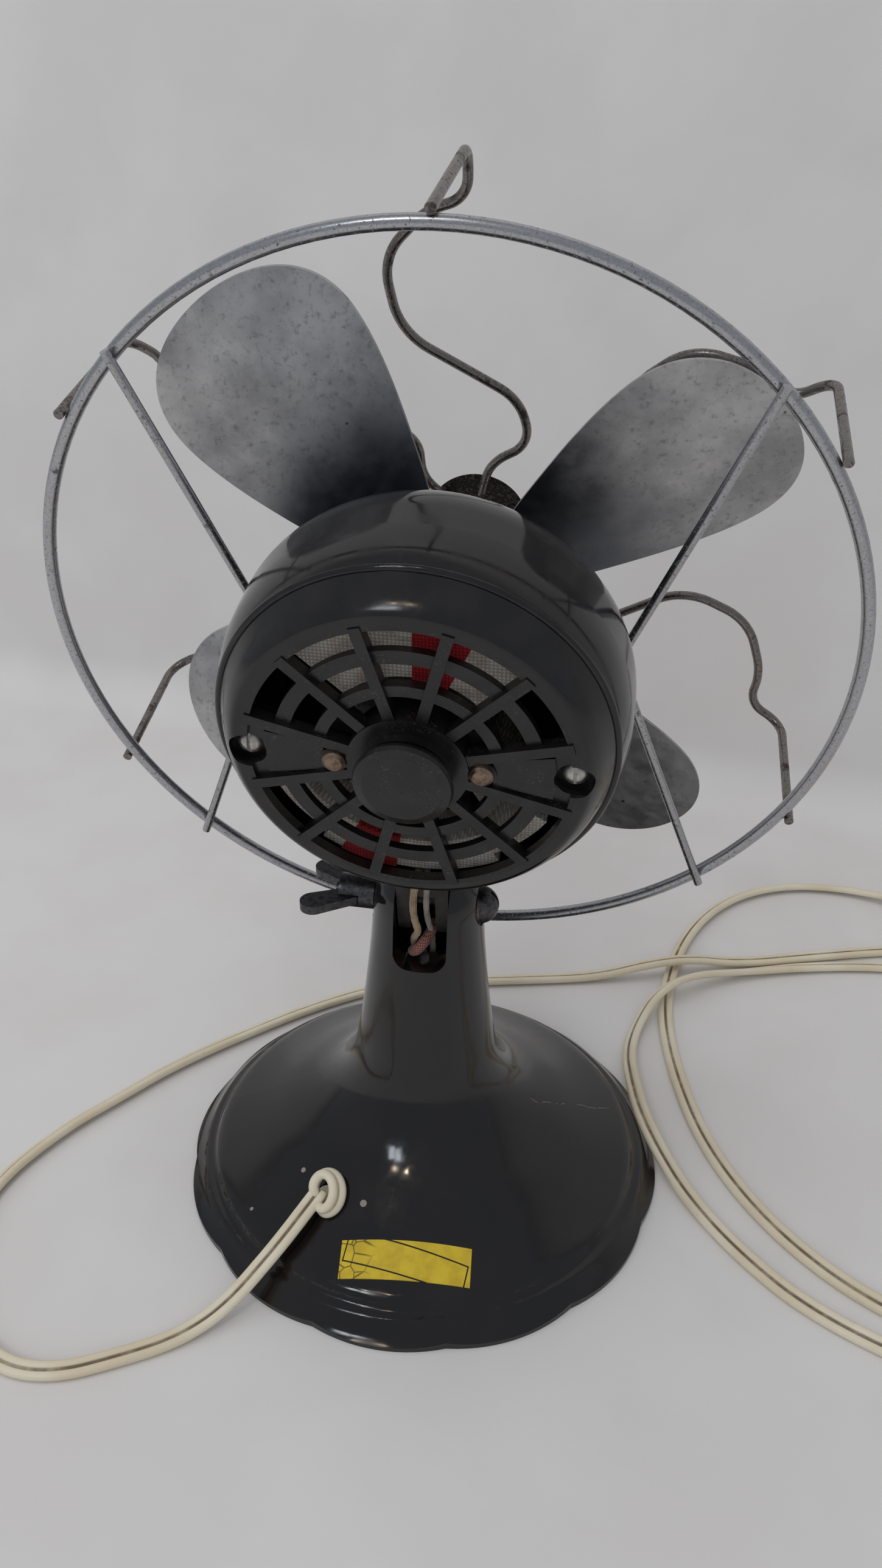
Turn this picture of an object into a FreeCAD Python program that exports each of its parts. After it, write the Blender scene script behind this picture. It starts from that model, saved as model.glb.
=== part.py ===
"""Desk fan with a moulded stand, a tilting motor head, four blades, a wire guard and a twin flex.

Millimetres, +Z up.  The origin is the centre of the base's underside, and the fan blows towards -Y.
The head's pieces are drawn in the motor's own frame and then put in place: x to the right and y up,
both as seen from behind, and z along the motor's axis, positive to the rear, 0 at the guard's ring.
"""
import FreeCAD
import Part
import math
import os
from FreeCAD import Vector

os.makedirs("parts", exist_ok=True)

X, Y, Z = Vector(1, 0, 0), Vector(0, 1, 0), Vector(0, 0, 1)
ORIGIN = Vector(0, 0, 0)

# ---------------------------------------------------------------- driving dimensions
PIVOT_HEIGHT = 115.0        # tilt bolt above the table
AXIS_ABOVE_PIVOT = 77.7     # motor axis above the tilt bolt, with the head level
RING_AHEAD = 35.7           # guard ring's plane ahead of the tilt bolt
HEAD_TILT = 13.5            # degrees that the head leans back at rest

BASE_RADIUS = 86.2          # over the tops of the scallops
SCALLOPS = 12
SCALLOP_DEPTH = 1.6
RIM_HEIGHT = 1.6
TOP_RADIUS = 18.3           # of the column's rounded top, centred on the tilt bolt
WALL = 3.5                  # of the stand's moulding

GUARD_RADIUS = 125.0        # centreline of the guard's ring
RING_WIRE = 2.05            # radius of the ring's wire
GUARD_WIRE = 1.5            # radius of the front wires
STAY_WIRE = 1.45            # radius of the straight stays behind
WIRE_ANGLES = (33, 90, 147, 207.5, 270, 333)   # of the six front wires, not quite evenly spaced

BOWL_RADIUS = 60.5          # motor housing at its widest
BOWL_WALL = 2.6
SEAM = 45.0                 # where the rear cover meets the housing
COVER_FACE = 57.0           # the rear cover's flat face
SHAFT = 4.0                 # shaft radius
SHAFT_FRONT, SHAFT_REAR = -43.0, 58.6
BEARING = 7.0               # outer radius of the two sleeve bearings
RUNNING = 0.06              # radial clearance of a running fit
M3_SHANK, M3_HOLE = 1.55, 1.6

BLADES = 4
BLADE_TIP = 118.0
BLADE_ANGLE = 38.0          # of the first blade, from the right, seen from behind
BLADE_THICKNESS = 1.2

CORD_WIDTH = 6.2            # twin flex over both cores
ON_TABLE = CORD_WIDTH / 2 + 0.1
OVER = ON_TABLE + 1.2 * CORD_WIDTH   # top of a hump where the cord crosses itself
ALL = 200.0                 # longer than anything that a cut goes through

# ---------------------------------------------------------------- helpers
nodes = {}


def keep(name, *solids):
    """Add solids to a node: one solid, or several that are the same kind of piece."""
    nodes[name] = solids[0] if len(solids) == 1 else Part.makeCompound(list(solids))


def cylinder(radius, low, high, centre=ORIGIN, axis=Z):
    """A cylinder along axis from low to high, measured from centre."""
    return Part.makeCylinder(radius, high - low, centre + axis * low, axis)


def tube(outer, inner, low, high, centre=ORIGIN, axis=Z):
    return cylinder(outer, low, high, centre, axis).cut(cylinder(inner, low, high, centre, axis))


def block(low, high):
    """A box between two opposite corners."""
    size = Vector(*high) - Vector(*low)
    return Part.makeBox(size.x, size.y, size.z, Vector(*low))


def at_angle(radius, degrees, z=0.0):
    angle = math.radians(degrees)
    return Vector(radius * math.cos(angle), radius * math.sin(angle), z)


def turned(shape, degrees, centre=ORIGIN, axis=Z):
    copy = shape.copy()
    copy.rotate(centre, axis, degrees)
    return copy


def polygon(points):
    return Part.makePolygon([Vector(*p) for p in points])


def smooth(points):
    """A smooth open curve through points."""
    curve = Part.BSplineCurve()
    curve.interpolate([Vector(*p) for p in points])
    return curve.toShape()


def revolved(edges):
    """The solid of revolution about Z of a closed outline in the XZ plane."""
    return Part.Face(Part.Wire(Part.__sortEdges__(edges))).revolve(ORIGIN, Z, 360)


def profile(points):
    """The solid of revolution of a polygon given as (radius, z)."""
    closed = [(r, 0, z) for r, z in points]
    return Part.Face(polygon(closed + closed[:1])).revolve(ORIGIN, Z, 360)


def prism(points, low, high):
    """A polygon in the XY plane, extruded from low to high."""
    closed = [(x, y, low) for x, y in points]
    return Part.Face(polygon(closed + closed[:1])).extrude(Z * (high - low))


def sector(inner, outer, low, high, start, end):
    """A block bent round Z between two angles in degrees."""
    outline = [(inner, 0, low), (outer, 0, low), (outer, 0, high), (inner, 0, high), (inner, 0, low)]
    solid = Part.Face(polygon(outline)).revolve(ORIGIN, Z, end - start)
    return turned(solid, start)


def domed_screw(radius, height, shank, length, centre, axis):
    """A screw with a domed, slotted head; centre is under the head, axis points out of it."""
    sphere_radius = (radius * radius + height * height) / (2 * height)
    ball = Part.makeSphere(sphere_radius, centre + axis * (height - sphere_radius))
    head = ball.common(cylinder(radius, 0, height, centre, axis))
    across = axis.cross(X) if abs(axis.dot(X)) < 0.9 else axis.cross(Y)
    across.normalize()
    side = axis.cross(across)
    slot = Part.Face(Part.makePolygon([
        centre + axis * (height * 0.5) + across * (i * radius * 1.2) + side * (j * radius * 0.11)
        for i, j in ((-1, -1), (1, -1), (1, 1), (-1, 1), (-1, -1))])).extrude(axis * height)
    return head.cut(slot).fuse(cylinder(shank, -length, 0, centre, axis)).removeSplitter()


def rounded_route(points, share=0.45, report=None):
    """Straight runs joined by tangent arcs, each arc as large as its two runs allow."""
    points = [Vector(*p) for p in points]
    edges, radii, start = [], [], points[0]
    for before, corner, after in zip(points, points[1:], points[2:]):
        into, out = corner - before, after - corner
        half_turn = into.getAngle(out) / 2
        reach = share * min(into.Length, out.Length)
        radii.append(reach / math.tan(half_turn))
        into.normalize()
        out.normalize()
        first, last = corner - into * reach, corner + out * reach
        bisector = out - into
        bisector.normalize()
        middle = corner + bisector * (radii[-1] / math.cos(half_turn) - radii[-1])
        edges.append(Part.LineSegment(start, first).toShape())
        edges.append(Part.Arc(first, middle, last).toShape())
        start = last
    edges.append(Part.LineSegment(start, points[-1]).toShape())
    wire = Part.Wire(edges)
    if report:
        print(report, "length", round(wire.Length, 1), "smallest radius", round(min(radii), 1),
              "radii", [round(r) for r in radii])
    return wire


def round_bar(wire, radius):
    """A round bar along a wire."""
    first = wire.OrderedEdges[0]
    start = first.valueAt(first.FirstParameter)
    direction = first.tangentAt(first.FirstParameter)
    section = Part.Wire(Part.makeCircle(radius, start, direction))
    return wire.makePipeShell([section], True, False, 0)


def straight_bar(start, end, radius):
    along = end - start
    return Part.makeCylinder(radius, along.Length, start, along)


# ---------------------------------------------------------------- stand
RIM_TO_TOP = [              # outside of the moulding, from the rim to the column's top
    (86.2, 1.6), (83.6, 3.5), (81.4, 6.2), (80.0, 7.7), (78.5, 8.1), (77.3, 8.9),
    (76.4, 10.6), (74.9, 12.1), (72.4, 13.4), (66.0, 16.4), (58.0, 20.6), (50.0, 25.4),
    (42.0, 30.4), (35.2, 36.0), (30.2, 42.0), (27.0, 48.0), (25.0, 54.0), (23.6, 62.0),
    (22.2, 72.0), (20.9, 83.0), (19.5, 97.0), (18.3, 115.0)]
HOLLOW = [                  # inside of the moulding
    (82.4, 1.4), (77.0, 4.4), (72.0, 9.6), (56.0, 17.4), (40.0, 27.0), (30.0, 36.0), (23.6, 47.0),
    (20.4, 60.0), (18.0, 76.0), (15.6, 90.0)]
SLOT_HALF = 8.8             # half the width of the slot that the neck tilts in
SLOT_FLOOR = 99.0
SLOT_CORNER = 4.5
SLOT_FRONT = -12.0          # the slot opens to the rear and leaves a wall in front
NUT_FACE = 17.5             # flat that the wing nut bears on, +X side
HEAD_FACE = -14.5           # recessed flat under the bolt's washer, -X side
PLATE_RADIUS = 77.8
PLATE_SCREW_RADIUS = 52.0
PLATE_SCREW_ANGLES = (30, 150, 270)
PLATE_SCREW, PLATE_SCREW_HEAD, PLATE_SCREW_END = 1.45, 3.2, 13.0
BOLT_HOLE, NUT_RECESS, HEAD_RECESS = 2.55, 8.0, 7.0
FELT_THICKNESS = 2.0
PLATE_TOP = 3.5
TERMINALS_LOW = Vector(-13, 8, PLATE_TOP)
TERMINALS_HIGH = Vector(13, 24, PLATE_TOP + 10)
PLATE_BOSS, PLATE_BOSS_TOP = 4.5, 24.0
TERMINAL_PITCH = Vector(8, 4, 0)       # half the screws' spacing
TERMINAL_WELL, TERMINAL_SCREW = 2.6, 2.4
TERMINAL_WELL_DEPTH, TERMINAL_SCREW_HEIGHT = 5.0, 3.5
CORD_HOLE = Vector(25.7, 47.8, 22.8)
CORD_OUT = Vector(0.243, 0.453, 0.857)   # normal of the dome at the cord's hole
CORD_HOLE_RADIUS = 3.4
LABEL_WIDTH, LABEL_DEPTH = 42.8, 11.0
LABEL_MIDDLE = Vector(-5.3, 64.8, 0)
LABEL_TURN = 5.5
LABEL_LIFT = Vector(0, 0.12, 0.22)     # the paper's thickness, square to the dome


def scalloped_prism(height):
    """Twelve shallow arcs round the rim, a lobe centred on each axis."""
    half = 180.0 / SCALLOPS
    cusp = BASE_RADIUS - SCALLOP_DEPTH
    arcs = []
    for i in range(SCALLOPS):
        middle = 2 * half * i
        arcs.append(Part.Arc(at_angle(cusp, middle - half, -1), at_angle(BASE_RADIUS, middle, -1),
                             at_angle(cusp, middle + half, -1)).toShape())
    return Part.Face(Part.Wire(arcs)).extrude(Z * (height + 1))


def stand_outside():
    top = RIM_TO_TOP[-1]
    edges = [smooth([(r, 0, z) for r, z in RIM_TO_TOP]),
             polygon([(BASE_RADIUS, 0, RIM_HEIGHT), (BASE_RADIUS, 0, 0), (0, 0, 0), (0, 0, top[1]),
                      (top[0], 0, top[1])])]
    body = revolved([e for part in edges for e in part.Edges])
    ball = Part.makeSphere(TOP_RADIUS, Vector(0, 0, PIVOT_HEIGHT))
    return body.common(scalloped_prism(PIVOT_HEIGHT + 2)).fuse(ball)


def stand_hollow():
    inner_top = HOLLOW[-1]
    edges = [smooth([(r, 0, z) for r, z in HOLLOW]),
             polygon([(HOLLOW[0][0], 0, HOLLOW[0][1]), (HOLLOW[0][0], 0, -1), (0, 0, -1),
                      (0, 0, inner_top[1]), (inner_top[0], 0, inner_top[1])])]
    return revolved([e for part in edges for e in part.Edges]).fuse(
        cylinder(SLOT_HALF - 0.4, inner_top[1] - 1, SLOT_FLOOR + 1))


def neck_slot():
    """U-shaped slot with rounded lower corners, open to the rear and at the top."""
    depth = 30.0 - SLOT_FRONT
    low = SLOT_FLOOR + SLOT_CORNER
    inset = SLOT_HALF - SLOT_CORNER
    corners = [Part.makeCylinder(SLOT_CORNER, depth, Vector(s * inset, SLOT_FRONT, low), Y) for s in (-1, 1)]
    upper = block((-SLOT_HALF, SLOT_FRONT, low), (SLOT_HALF, 30, PIVOT_HEIGHT + 30))
    floor = block((-inset, SLOT_FRONT, SLOT_FLOOR), (inset, 30, low + 1))
    mouth = block((-SLOT_HALF, -30, PIVOT_HEIGHT + 1), (SLOT_HALF, 30, PIVOT_HEIGHT + 30))
    return upper.fuse(corners + [floor, mouth])


def make_base_column():
    body = stand_outside().cut(stand_hollow())
    places = [at_angle(PLATE_SCREW_RADIUS, a) for a in PLATE_SCREW_ANGLES]
    outside = stand_outside()
    bosses = [cylinder(PLATE_BOSS, PLATE_TOP, PLATE_BOSS_TOP, place).common(outside) for place in places]
    body = body.fuse(bosses)
    pivot = Vector(0, 0, PIVOT_HEIGHT)
    through = 2 * WALL
    cuts = [neck_slot(),
            cylinder(BOLT_HOLE, -ALL, ALL, pivot, X),
            cylinder(NUT_RECESS, NUT_FACE, ALL, pivot, X),
            cylinder(HEAD_RECESS, -ALL, HEAD_FACE, pivot, X),
            cylinder(CORD_HOLE_RADIUS, -through, through, CORD_HOLE, CORD_OUT)]
    cuts += [cylinder(PLATE_SCREW + 0.05, 0, PLATE_SCREW_END + 3, place) for place in places]
    keep("base_column", body.cut(Part.makeCompound(cuts)).removeSplitter().Solids[0])


def make_underside():
    places = [at_angle(PLATE_SCREW_RADIUS, a) for a in PLATE_SCREW_ANGLES]
    holes = [cylinder(PLATE_SCREW + 0.2, 0, 5, place) for place in places]
    wells = [cylinder(PLATE_SCREW_HEAD + 0.2, 0, FELT_THICKNESS, place) for place in places]
    keep("base_plate", cylinder(PLATE_RADIUS, FELT_THICKNESS, PLATE_TOP).cut(Part.makeCompound(holes)))
    keep("felt_pad", cylinder(PLATE_RADIUS - 1, 0, FELT_THICKNESS).cut(Part.makeCompound(wells)))
    screws = [cylinder(PLATE_SCREW_HEAD, 0.3, FELT_THICKNESS, place).fuse(
        cylinder(PLATE_SCREW, FELT_THICKNESS, PLATE_SCREW_END, place)) for place in places]
    keep("base_plate_screws", *screws)


def make_terminals():
    """Two-way terminal block on the base plate, where the flex meets the motor's leads."""
    middle = (TERMINALS_LOW + TERMINALS_HIGH) * 0.5
    places = [Vector(middle.x + x * TERMINAL_PITCH.x, middle.y + y * TERMINAL_PITCH.y, 0)
              for x in (-1, 1) for y in (-1, 1)]
    floor = TERMINALS_HIGH.z - TERMINAL_WELL_DEPTH
    wells = [cylinder(TERMINAL_WELL, floor, TERMINALS_HIGH.z, place) for place in places]
    keep("terminal_block", block(TERMINALS_LOW, TERMINALS_HIGH).cut(Part.makeCompound(wells)))
    keep("terminal_screws", *[cylinder(TERMINAL_SCREW, floor, floor + TERMINAL_SCREW_HEIGHT, place)
                              for place in places])


def make_label():
    """Thin paper label that follows the dome behind the cord's hole."""
    body = stand_outside()
    skin = body.copy()
    skin.translate(LABEL_LIFT)
    half = Vector(LABEL_WIDTH / 2, LABEL_DEPTH / 2, 0)
    window = block(LABEL_MIDDLE - half, LABEL_MIDDLE + half + Z * PIVOT_HEIGHT)
    window = turned(window, LABEL_TURN, LABEL_MIDDLE)
    keep("label", skin.common(window).cut(body).Solids[0])


# ---------------------------------------------------------------- tilt bolt and wing nut
WASHER, WASHER_RADIUS = 3.4, 6.8
BOLT, BOLT_HEAD, BOLT_HEAD_RADIUS = 2.5, 5.6, 6.3
BOLT_BEYOND_NUT = 1.5
NUT_LENGTH, NUT_RADIUS = 12.0, 5.6
NUT_GAP = 0.1
WING_ROOT, WING_TIP = (7.5, 3.5), (19.2, 10.4)   # (along the bolt, sideways) from the nut's face
WING_ROOT_HALF, WING_TIP_HALF = 3.2, 4.3         # half widths, rounded at both ends
WING_THICKNESS = 3.0


def make_wing(side):
    """One wing: a flat tapered blade with rounded ends, leaning out from the nut's hub."""
    start = NUT_FACE + NUT_GAP
    root, tip = (Vector(start + along, side * out, PIVOT_HEIGHT) for along, out in (WING_ROOT, WING_TIP))
    direction = tip - root
    direction.normalize()
    across = Z.cross(direction)
    half = WING_THICKNESS / 2
    corners = [root + across * WING_ROOT_HALF, tip + across * WING_TIP_HALF,
               tip - across * WING_TIP_HALF, root - across * WING_ROOT_HALF]
    outline = Part.makePolygon([corner - Z * half for corner in corners + corners[:1]])
    ends = [cylinder(WING_TIP_HALF, -half, half, tip), cylinder(WING_ROOT_HALF, -half, half, root)]
    return Part.Face(outline).extrude(Z * WING_THICKNESS).fuse(ends)


def make_tilt_bolt():
    pivot = Vector(0, 0, PIVOT_HEIGHT)
    under_head = Vector(HEAD_FACE - WASHER, 0, PIVOT_HEIGHT)
    shank = NUT_FACE + NUT_LENGTH + BOLT_BEYOND_NUT - under_head.x
    keep("tilt_bolt", domed_screw(BOLT_HEAD_RADIUS, BOLT_HEAD, BOLT, shank, under_head, X * -1))
    keep("tilt_washer", tube(WASHER_RADIUS, BOLT_HOLE, HEAD_FACE - WASHER, HEAD_FACE, pivot, X))
    start = NUT_FACE + NUT_GAP
    hub = cylinder(NUT_RADIUS, start, start + NUT_LENGTH, pivot, X)
    nut = hub.fuse([make_wing(-1), make_wing(1)]).cut(cylinder(BOLT + RUNNING, -ALL, ALL, pivot, X))
    keep("wing_nut", nut.removeSplitter())


# ---------------------------------------------------------------- motor housing
NOSE_FLAT = 14.0            # radius of the nose's flat
NOSE_REACH = 40.1           # half length of the nose's ellipse
BELT, BELT_END = 20.0, 30.0   # the straight belt, between the nose and the turned-in edge
TURN_IN = 2.6               # how much smaller the housing is at the seam
FRONT_BOSS, FRONT_BOSS_LOW, FRONT_BOSS_HIGH = 12.0, -18.6, -4.0
COVER_SCREW_RADIUS = 46.0
LUG_SEAT = 52.9             # seat on the housing's side for a lug that holds two stays
LUG_LEVEL = Vector(0, 0, 1.0)
LUG_RADIUS = 6.2
LUG_WELL = 9.0              # radius of the flat round the lug
LUG_BOSS_DEPTH = 9.0        # inside the housing's wall
LEAD_HOLE = 3.6
LEAD_HOLE_AT = Vector(0, 0, RING_AHEAD + 6.5)
NECK_SCREW_AT = Vector(0, 0, RING_AHEAD - 7.0)
NECK_SCREW_HOLE = 1.5


def bowl(radius, reach):
    """Rounded bowl: an elliptical nose, a short straight belt and a turned-in rear edge."""
    start = math.asin(NOSE_FLAT / radius)
    front = BELT - reach * math.cos(start)
    angles = [start + (math.pi / 2 - start) * i / 10 for i in range(11)]
    nose = smooth([(radius * math.sin(a), 0, BELT - reach * math.cos(a)) for a in angles])
    length = SEAM - BELT_END
    bend = (length ** 2 + TURN_IN ** 2) / (2 * TURN_IN)
    half_way = bend - math.sqrt(bend ** 2 - length ** 2 / 4)
    edge = Part.Arc(Vector(radius, 0, BELT_END), Vector(radius - half_way, 0, BELT_END + length / 2),
                    Vector(radius - TURN_IN, 0, SEAM)).toShape()
    belt = polygon([(radius, 0, BELT), (radius, 0, BELT_END)])
    rest = polygon([(radius - TURN_IN, 0, SEAM), (0, 0, SEAM), (0, 0, front), (NOSE_FLAT, 0, front)])
    return revolved(nose.Edges + belt.Edges + [edge] + rest.Edges)


def cover_screw_boss(side):
    """Boss inside the housing's rim that a cover screw goes into."""
    near, far = sorted((side * (COVER_SCREW_RADIUS - 5), side * BOWL_RADIUS))
    return block((near, -5, SEAM - 9), (far, 5, SEAM - 0.5)).common(cylinder(BOWL_RADIUS - 3, 0, SEAM))


def make_motor_housing():
    outside = bowl(BOWL_RADIUS, NOSE_REACH)
    shell = outside.cut(bowl(BOWL_RADIUS - BOWL_WALL, NOSE_REACH - BOWL_WALL))
    bosses = [cylinder(FRONT_BOSS, FRONT_BOSS_LOW, FRONT_BOSS_HIGH)]
    cuts = [cylinder(BEARING, -ALL, 0),
            cylinder(LEAD_HOLE, 50, ALL, LEAD_HOLE_AT, Y * -1),
            cylinder(NECK_SCREW_HOLE, 50, ALL, NECK_SCREW_AT, Y * -1)]
    for side in (-1, 1):
        outward = X * side
        seat = cylinder(LUG_WELL + 2, LUG_SEAT - BOWL_WALL + 0.3, BOWL_RADIUS, LUG_LEVEL, outward)
        bosses += [cover_screw_boss(side), seat.common(outside),
                   cylinder(LUG_RADIUS, LUG_SEAT - LUG_BOSS_DEPTH, LUG_SEAT, LUG_LEVEL, outward)]
        cuts += [cylinder(M3_HOLE, SEAM - 15, ALL, Vector(side * COVER_SCREW_RADIUS, 0, 0)),
                 cylinder(M3_HOLE, 40, ALL, LUG_LEVEL, outward),
                 cylinder(LUG_WELL, LUG_SEAT, ALL, LUG_LEVEL, outward)]
    body = shell.fuse(bosses).cut(Part.makeCompound(cuts))
    keep("motor_housing", body.removeSplitter().Solids[0])


# ---------------------------------------------------------------- rear cover
LIP = [(57.6, SEAM + 0.1), (58.2, SEAM + 0.7), (57.9, SEAM + 1.5), (56.6, SEAM + 1.9)]
SHOULDER = [(56.6, SEAM + 1.9), (54.9, 50.2), (52.9, 53.8), (51.2, 55.9), (50.0, 56.8), (48.8, COVER_FACE)]
COVER_INSIDE = [(48.6, 53.6), (52.0, 50.6), (54.6, SEAM + 0.1)]
OPENING = 45.5              # outer radius of the grille's openings
RIBS = 12
RIB_WIDTH = 3.3
RIB_LOW = 53.4              # front of the grille's ribs and rings
RINGS = [(38.6, 34.3, 55.9), (27.5, 24.0, 56.4)]   # (outer, inner, rear) of the grille's rings
PANEL_HALF, PANEL_REAR = 15, 55.6      # solid sectors under the screws, half angle and rear face
PAD_HALF, PAD_REAR = 10.5, 56.4        # raised pads on them, between the rings
PAD_INNER, PAD_OUTER = 27.0, 41.0
COVER_HUB, COVER_HUB_REAR = 17.2, 57.9
CAP_SEAT, CAP_SEAT_REAR = 12.6, 60.8
RIVET_RADIUS = 20.6
RIVET = 3.6                 # radius of a rivet's head
RIVET_SEAT = 57.0
SCREW_SEAT = 51.8
SCREW_BOSS, SCREW_BOSS_REAR, SCREW_WELL = 8.6, 53.0, 5.6
SCREW_HEAD, SCREW_HEAD_HEIGHT = 4.3, 3.4
CARRIER = 49.0              # rear face of the bearing's carrier plate
CARRIER_PLATE = 1.4
CARRIER_RADIUS, CARRIER_HALF_WIDTH, CARRIER_BORE = 24.5, 8.0, 5.6


def cover_rim():
    """Rounded lip over the housing's edge and the curved shoulder up to the flat face."""
    inside = [(OPENING, COVER_FACE), (OPENING, COVER_INSIDE[0][1])] + COVER_INSIDE
    curves = [smooth([(r, 0, z) for r, z in points]) for points in (LIP, SHOULDER)]
    curves.append(polygon([(r, 0, z) for r, z in SHOULDER[-1:] + inside + LIP[:1]]))
    return revolved([edge for curve in curves for edge in curve.Edges])


def make_rear_cover():
    pieces = [profile([(BEARING, CARRIER), (COVER_HUB, CARRIER), (COVER_HUB, COVER_HUB_REAR),
                       (CAP_SEAT, COVER_HUB_REAR), (CAP_SEAT, CAP_SEAT_REAR), (BEARING, CAP_SEAT_REAR)])]
    pieces += [tube(outer, inner, RIB_LOW, rear) for outer, inner, rear in RINGS]
    rib_low = (COVER_HUB - 2, -RIB_WIDTH / 2, RIB_LOW)
    rib_high = (OPENING + 1.5, RIB_WIDTH / 2, COVER_FACE + 0.5)
    pieces += [turned(block(rib_low, rib_high), (i + 0.5) * 360 / RIBS) for i in range(RIBS)]
    within = cylinder(COVER_INSIDE[1][0] + 0.5, 0, ALL)
    cuts = []
    for side in (0, 180):
        seat, rivet = at_angle(COVER_SCREW_RADIUS, side), at_angle(RIVET_RADIUS, side)
        start, end = side - PANEL_HALF, side + PANEL_HALF
        pieces += [sector(COVER_HUB - 2, OPENING + 1, RIB_LOW, PANEL_REAR, start, end),
                   sector(PAD_INNER, PAD_OUTER, RIB_LOW, PAD_REAR, side - PAD_HALF, side + PAD_HALF),
                   cylinder(SCREW_BOSS, SEAM + 0.1, SCREW_BOSS_REAR, seat).common(within),
                   cylinder(RIVET + 0.5, CARRIER, RIVET_SEAT, rivet)]
        cuts += [cylinder(SCREW_WELL, SCREW_SEAT, ALL, seat), cylinder(M3_HOLE + 0.1, 0, ALL, seat),
                 cylinder(M3_HOLE, 0, ALL, rivet), cylinder(RIVET + 0.1, RIVET_SEAT, ALL, rivet)]
    body = cover_rim().fuse(pieces).cut(Part.makeCompound(cuts))
    keep("rear_cover", body.removeSplitter().Solids[0])


def make_bearing_cap():
    """Turned cap on the cover's hub: a plug, a narrow foot and a rounded rim."""
    foot, rim, rear = 11.4, 14.1, 67.1
    plug = CAP_SEAT_REAR - 1.4
    keep("bearing_cap", profile([
        (0, plug), (BEARING - 0.1, plug), (BEARING - 0.1, CAP_SEAT_REAR), (foot, CAP_SEAT_REAR),
        (foot, rear - 4.5), (rim - 0.3, rear - 4.1), (rim, rear - 2.7), (rim - 0.5, rear - 1.4),
        (foot - 0.4, rear - 0.5), (5.0, rear - 0.1), (0, rear)]))


def make_cover_rivet(angle):
    """Domed head on the cover, shank, and a formed foot in front of the carrier plate."""
    shank, foot = 1.6, 2.6
    front = CARRIER - CARRIER_PLATE
    head = profile([(0, RIVET_SEAT), (RIVET, RIVET_SEAT), (RIVET - 0.2, RIVET_SEAT + 1.2),
                    (RIVET - 1.2, RIVET_SEAT + 2.1), (0, RIVET_SEAT + 2.5)])
    rivet = head.fuse([cylinder(shank, front, RIVET_SEAT), cylinder(foot, front - 1.4, front)])
    return rivet.removeSplitter().translated(at_angle(RIVET_RADIUS, angle))


def make_cover_fittings():
    seats = [at_angle(COVER_SCREW_RADIUS, angle, SCREW_SEAT) for angle in (0, 180)]
    length = SCREW_SEAT - (SEAM - 8)
    keep("cover_screws", *[domed_screw(SCREW_HEAD, SCREW_HEAD_HEIGHT, M3_SHANK, length, seat, Z)
                           for seat in seats])
    keep("cover_rivets", *[make_cover_rivet(angle) for angle in (0, 180)])
    carrier = tube(CARRIER_RADIUS, CARRIER_BORE, CARRIER - CARRIER_PLATE, CARRIER)
    carrier = carrier.common(block((-ALL, -CARRIER_HALF_WIDTH, 0), (ALL, CARRIER_HALF_WIDTH, ALL)))
    holes = [cylinder(M3_HOLE, 0, ALL, at_angle(RIVET_RADIUS, angle)) for angle in (0, 180)]
    keep("bearing_carrier", carrier.cut(Part.makeCompound(holes)))


# ---------------------------------------------------------------- motor
FRONT_BEARING = (-17.0, -5.0)
OIL_FELT, OIL_FELT_LENGTH = 6.6, 1.8
STATOR_FRONT, STATOR_BACK = 8.0, 34.0
STATOR_OUTER, STATOR_YOKE, STATOR_BORE = 50.0, 41.0, 21.6
SHOE = 25.4                 # outer radius of the pole shoes
POLE_HALF, SHOE_HALF = 14.0, 18.0
COIL_REAR = 49.5
LEG_INNER, LEG_OUTER = 31.0, 39.0
LEG_START, LEG_END = 29, 40   # degrees from the pole's middle
# each coil's pole, its rear end turn as (inner, outer, start, end) arcs, and the red sleeve's ends
COILS = {
    "top": (90, [(25.5, 45.6, 44, 136)], (65.2, 88.0)),
    "bottom": (270, [(36.5, 45.0, 206, 329), (36.5, 48.4, 233, 301)], (241.0, 262.0))}
SLEEVE = 0.5                # thickness of the sleeve
END_RING, END_RING_BORE, END_RING_LENGTH = 20.2, 12.5, 3.5
THRUST_WASHER = 6.4


def make_bearings():
    bore = SHAFT + RUNNING
    keep("rear_bearing", tube(BEARING, bore, CARRIER, COVER_FACE))
    keep("front_bearing", tube(BEARING, bore, *FRONT_BEARING))
    felts = [start + 0.1 for start in (COVER_FACE, FRONT_BEARING[1])]
    keep("oil_felts", *[tube(OIL_FELT, SHAFT + 0.4, start, start + OIL_FELT_LENGTH) for start in felts])


def make_stator():
    core = tube(STATOR_OUTER, STATOR_YOKE, STATOR_FRONT, STATOR_BACK)
    shoes = tube(SHOE, STATOR_BORE, STATOR_FRONT, STATOR_BACK)
    for side in (-1, 1):
        root, end = sorted((side * (SHOE - 1.4), side * (STATOR_YOKE + 1)))
        low, high = sorted((side * STATOR_BORE / 2, side * (SHOE + 1)))
        pole = block((-POLE_HALF, root, STATOR_FRONT), (POLE_HALF, end, STATOR_BACK))
        shoe = shoes.common(block((-SHOE_HALF, low, STATOR_FRONT), (SHOE_HALF, high, STATOR_BACK)))
        core = core.fuse([pole, shoe])
    keep("stator_core", core.removeSplitter())


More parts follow.
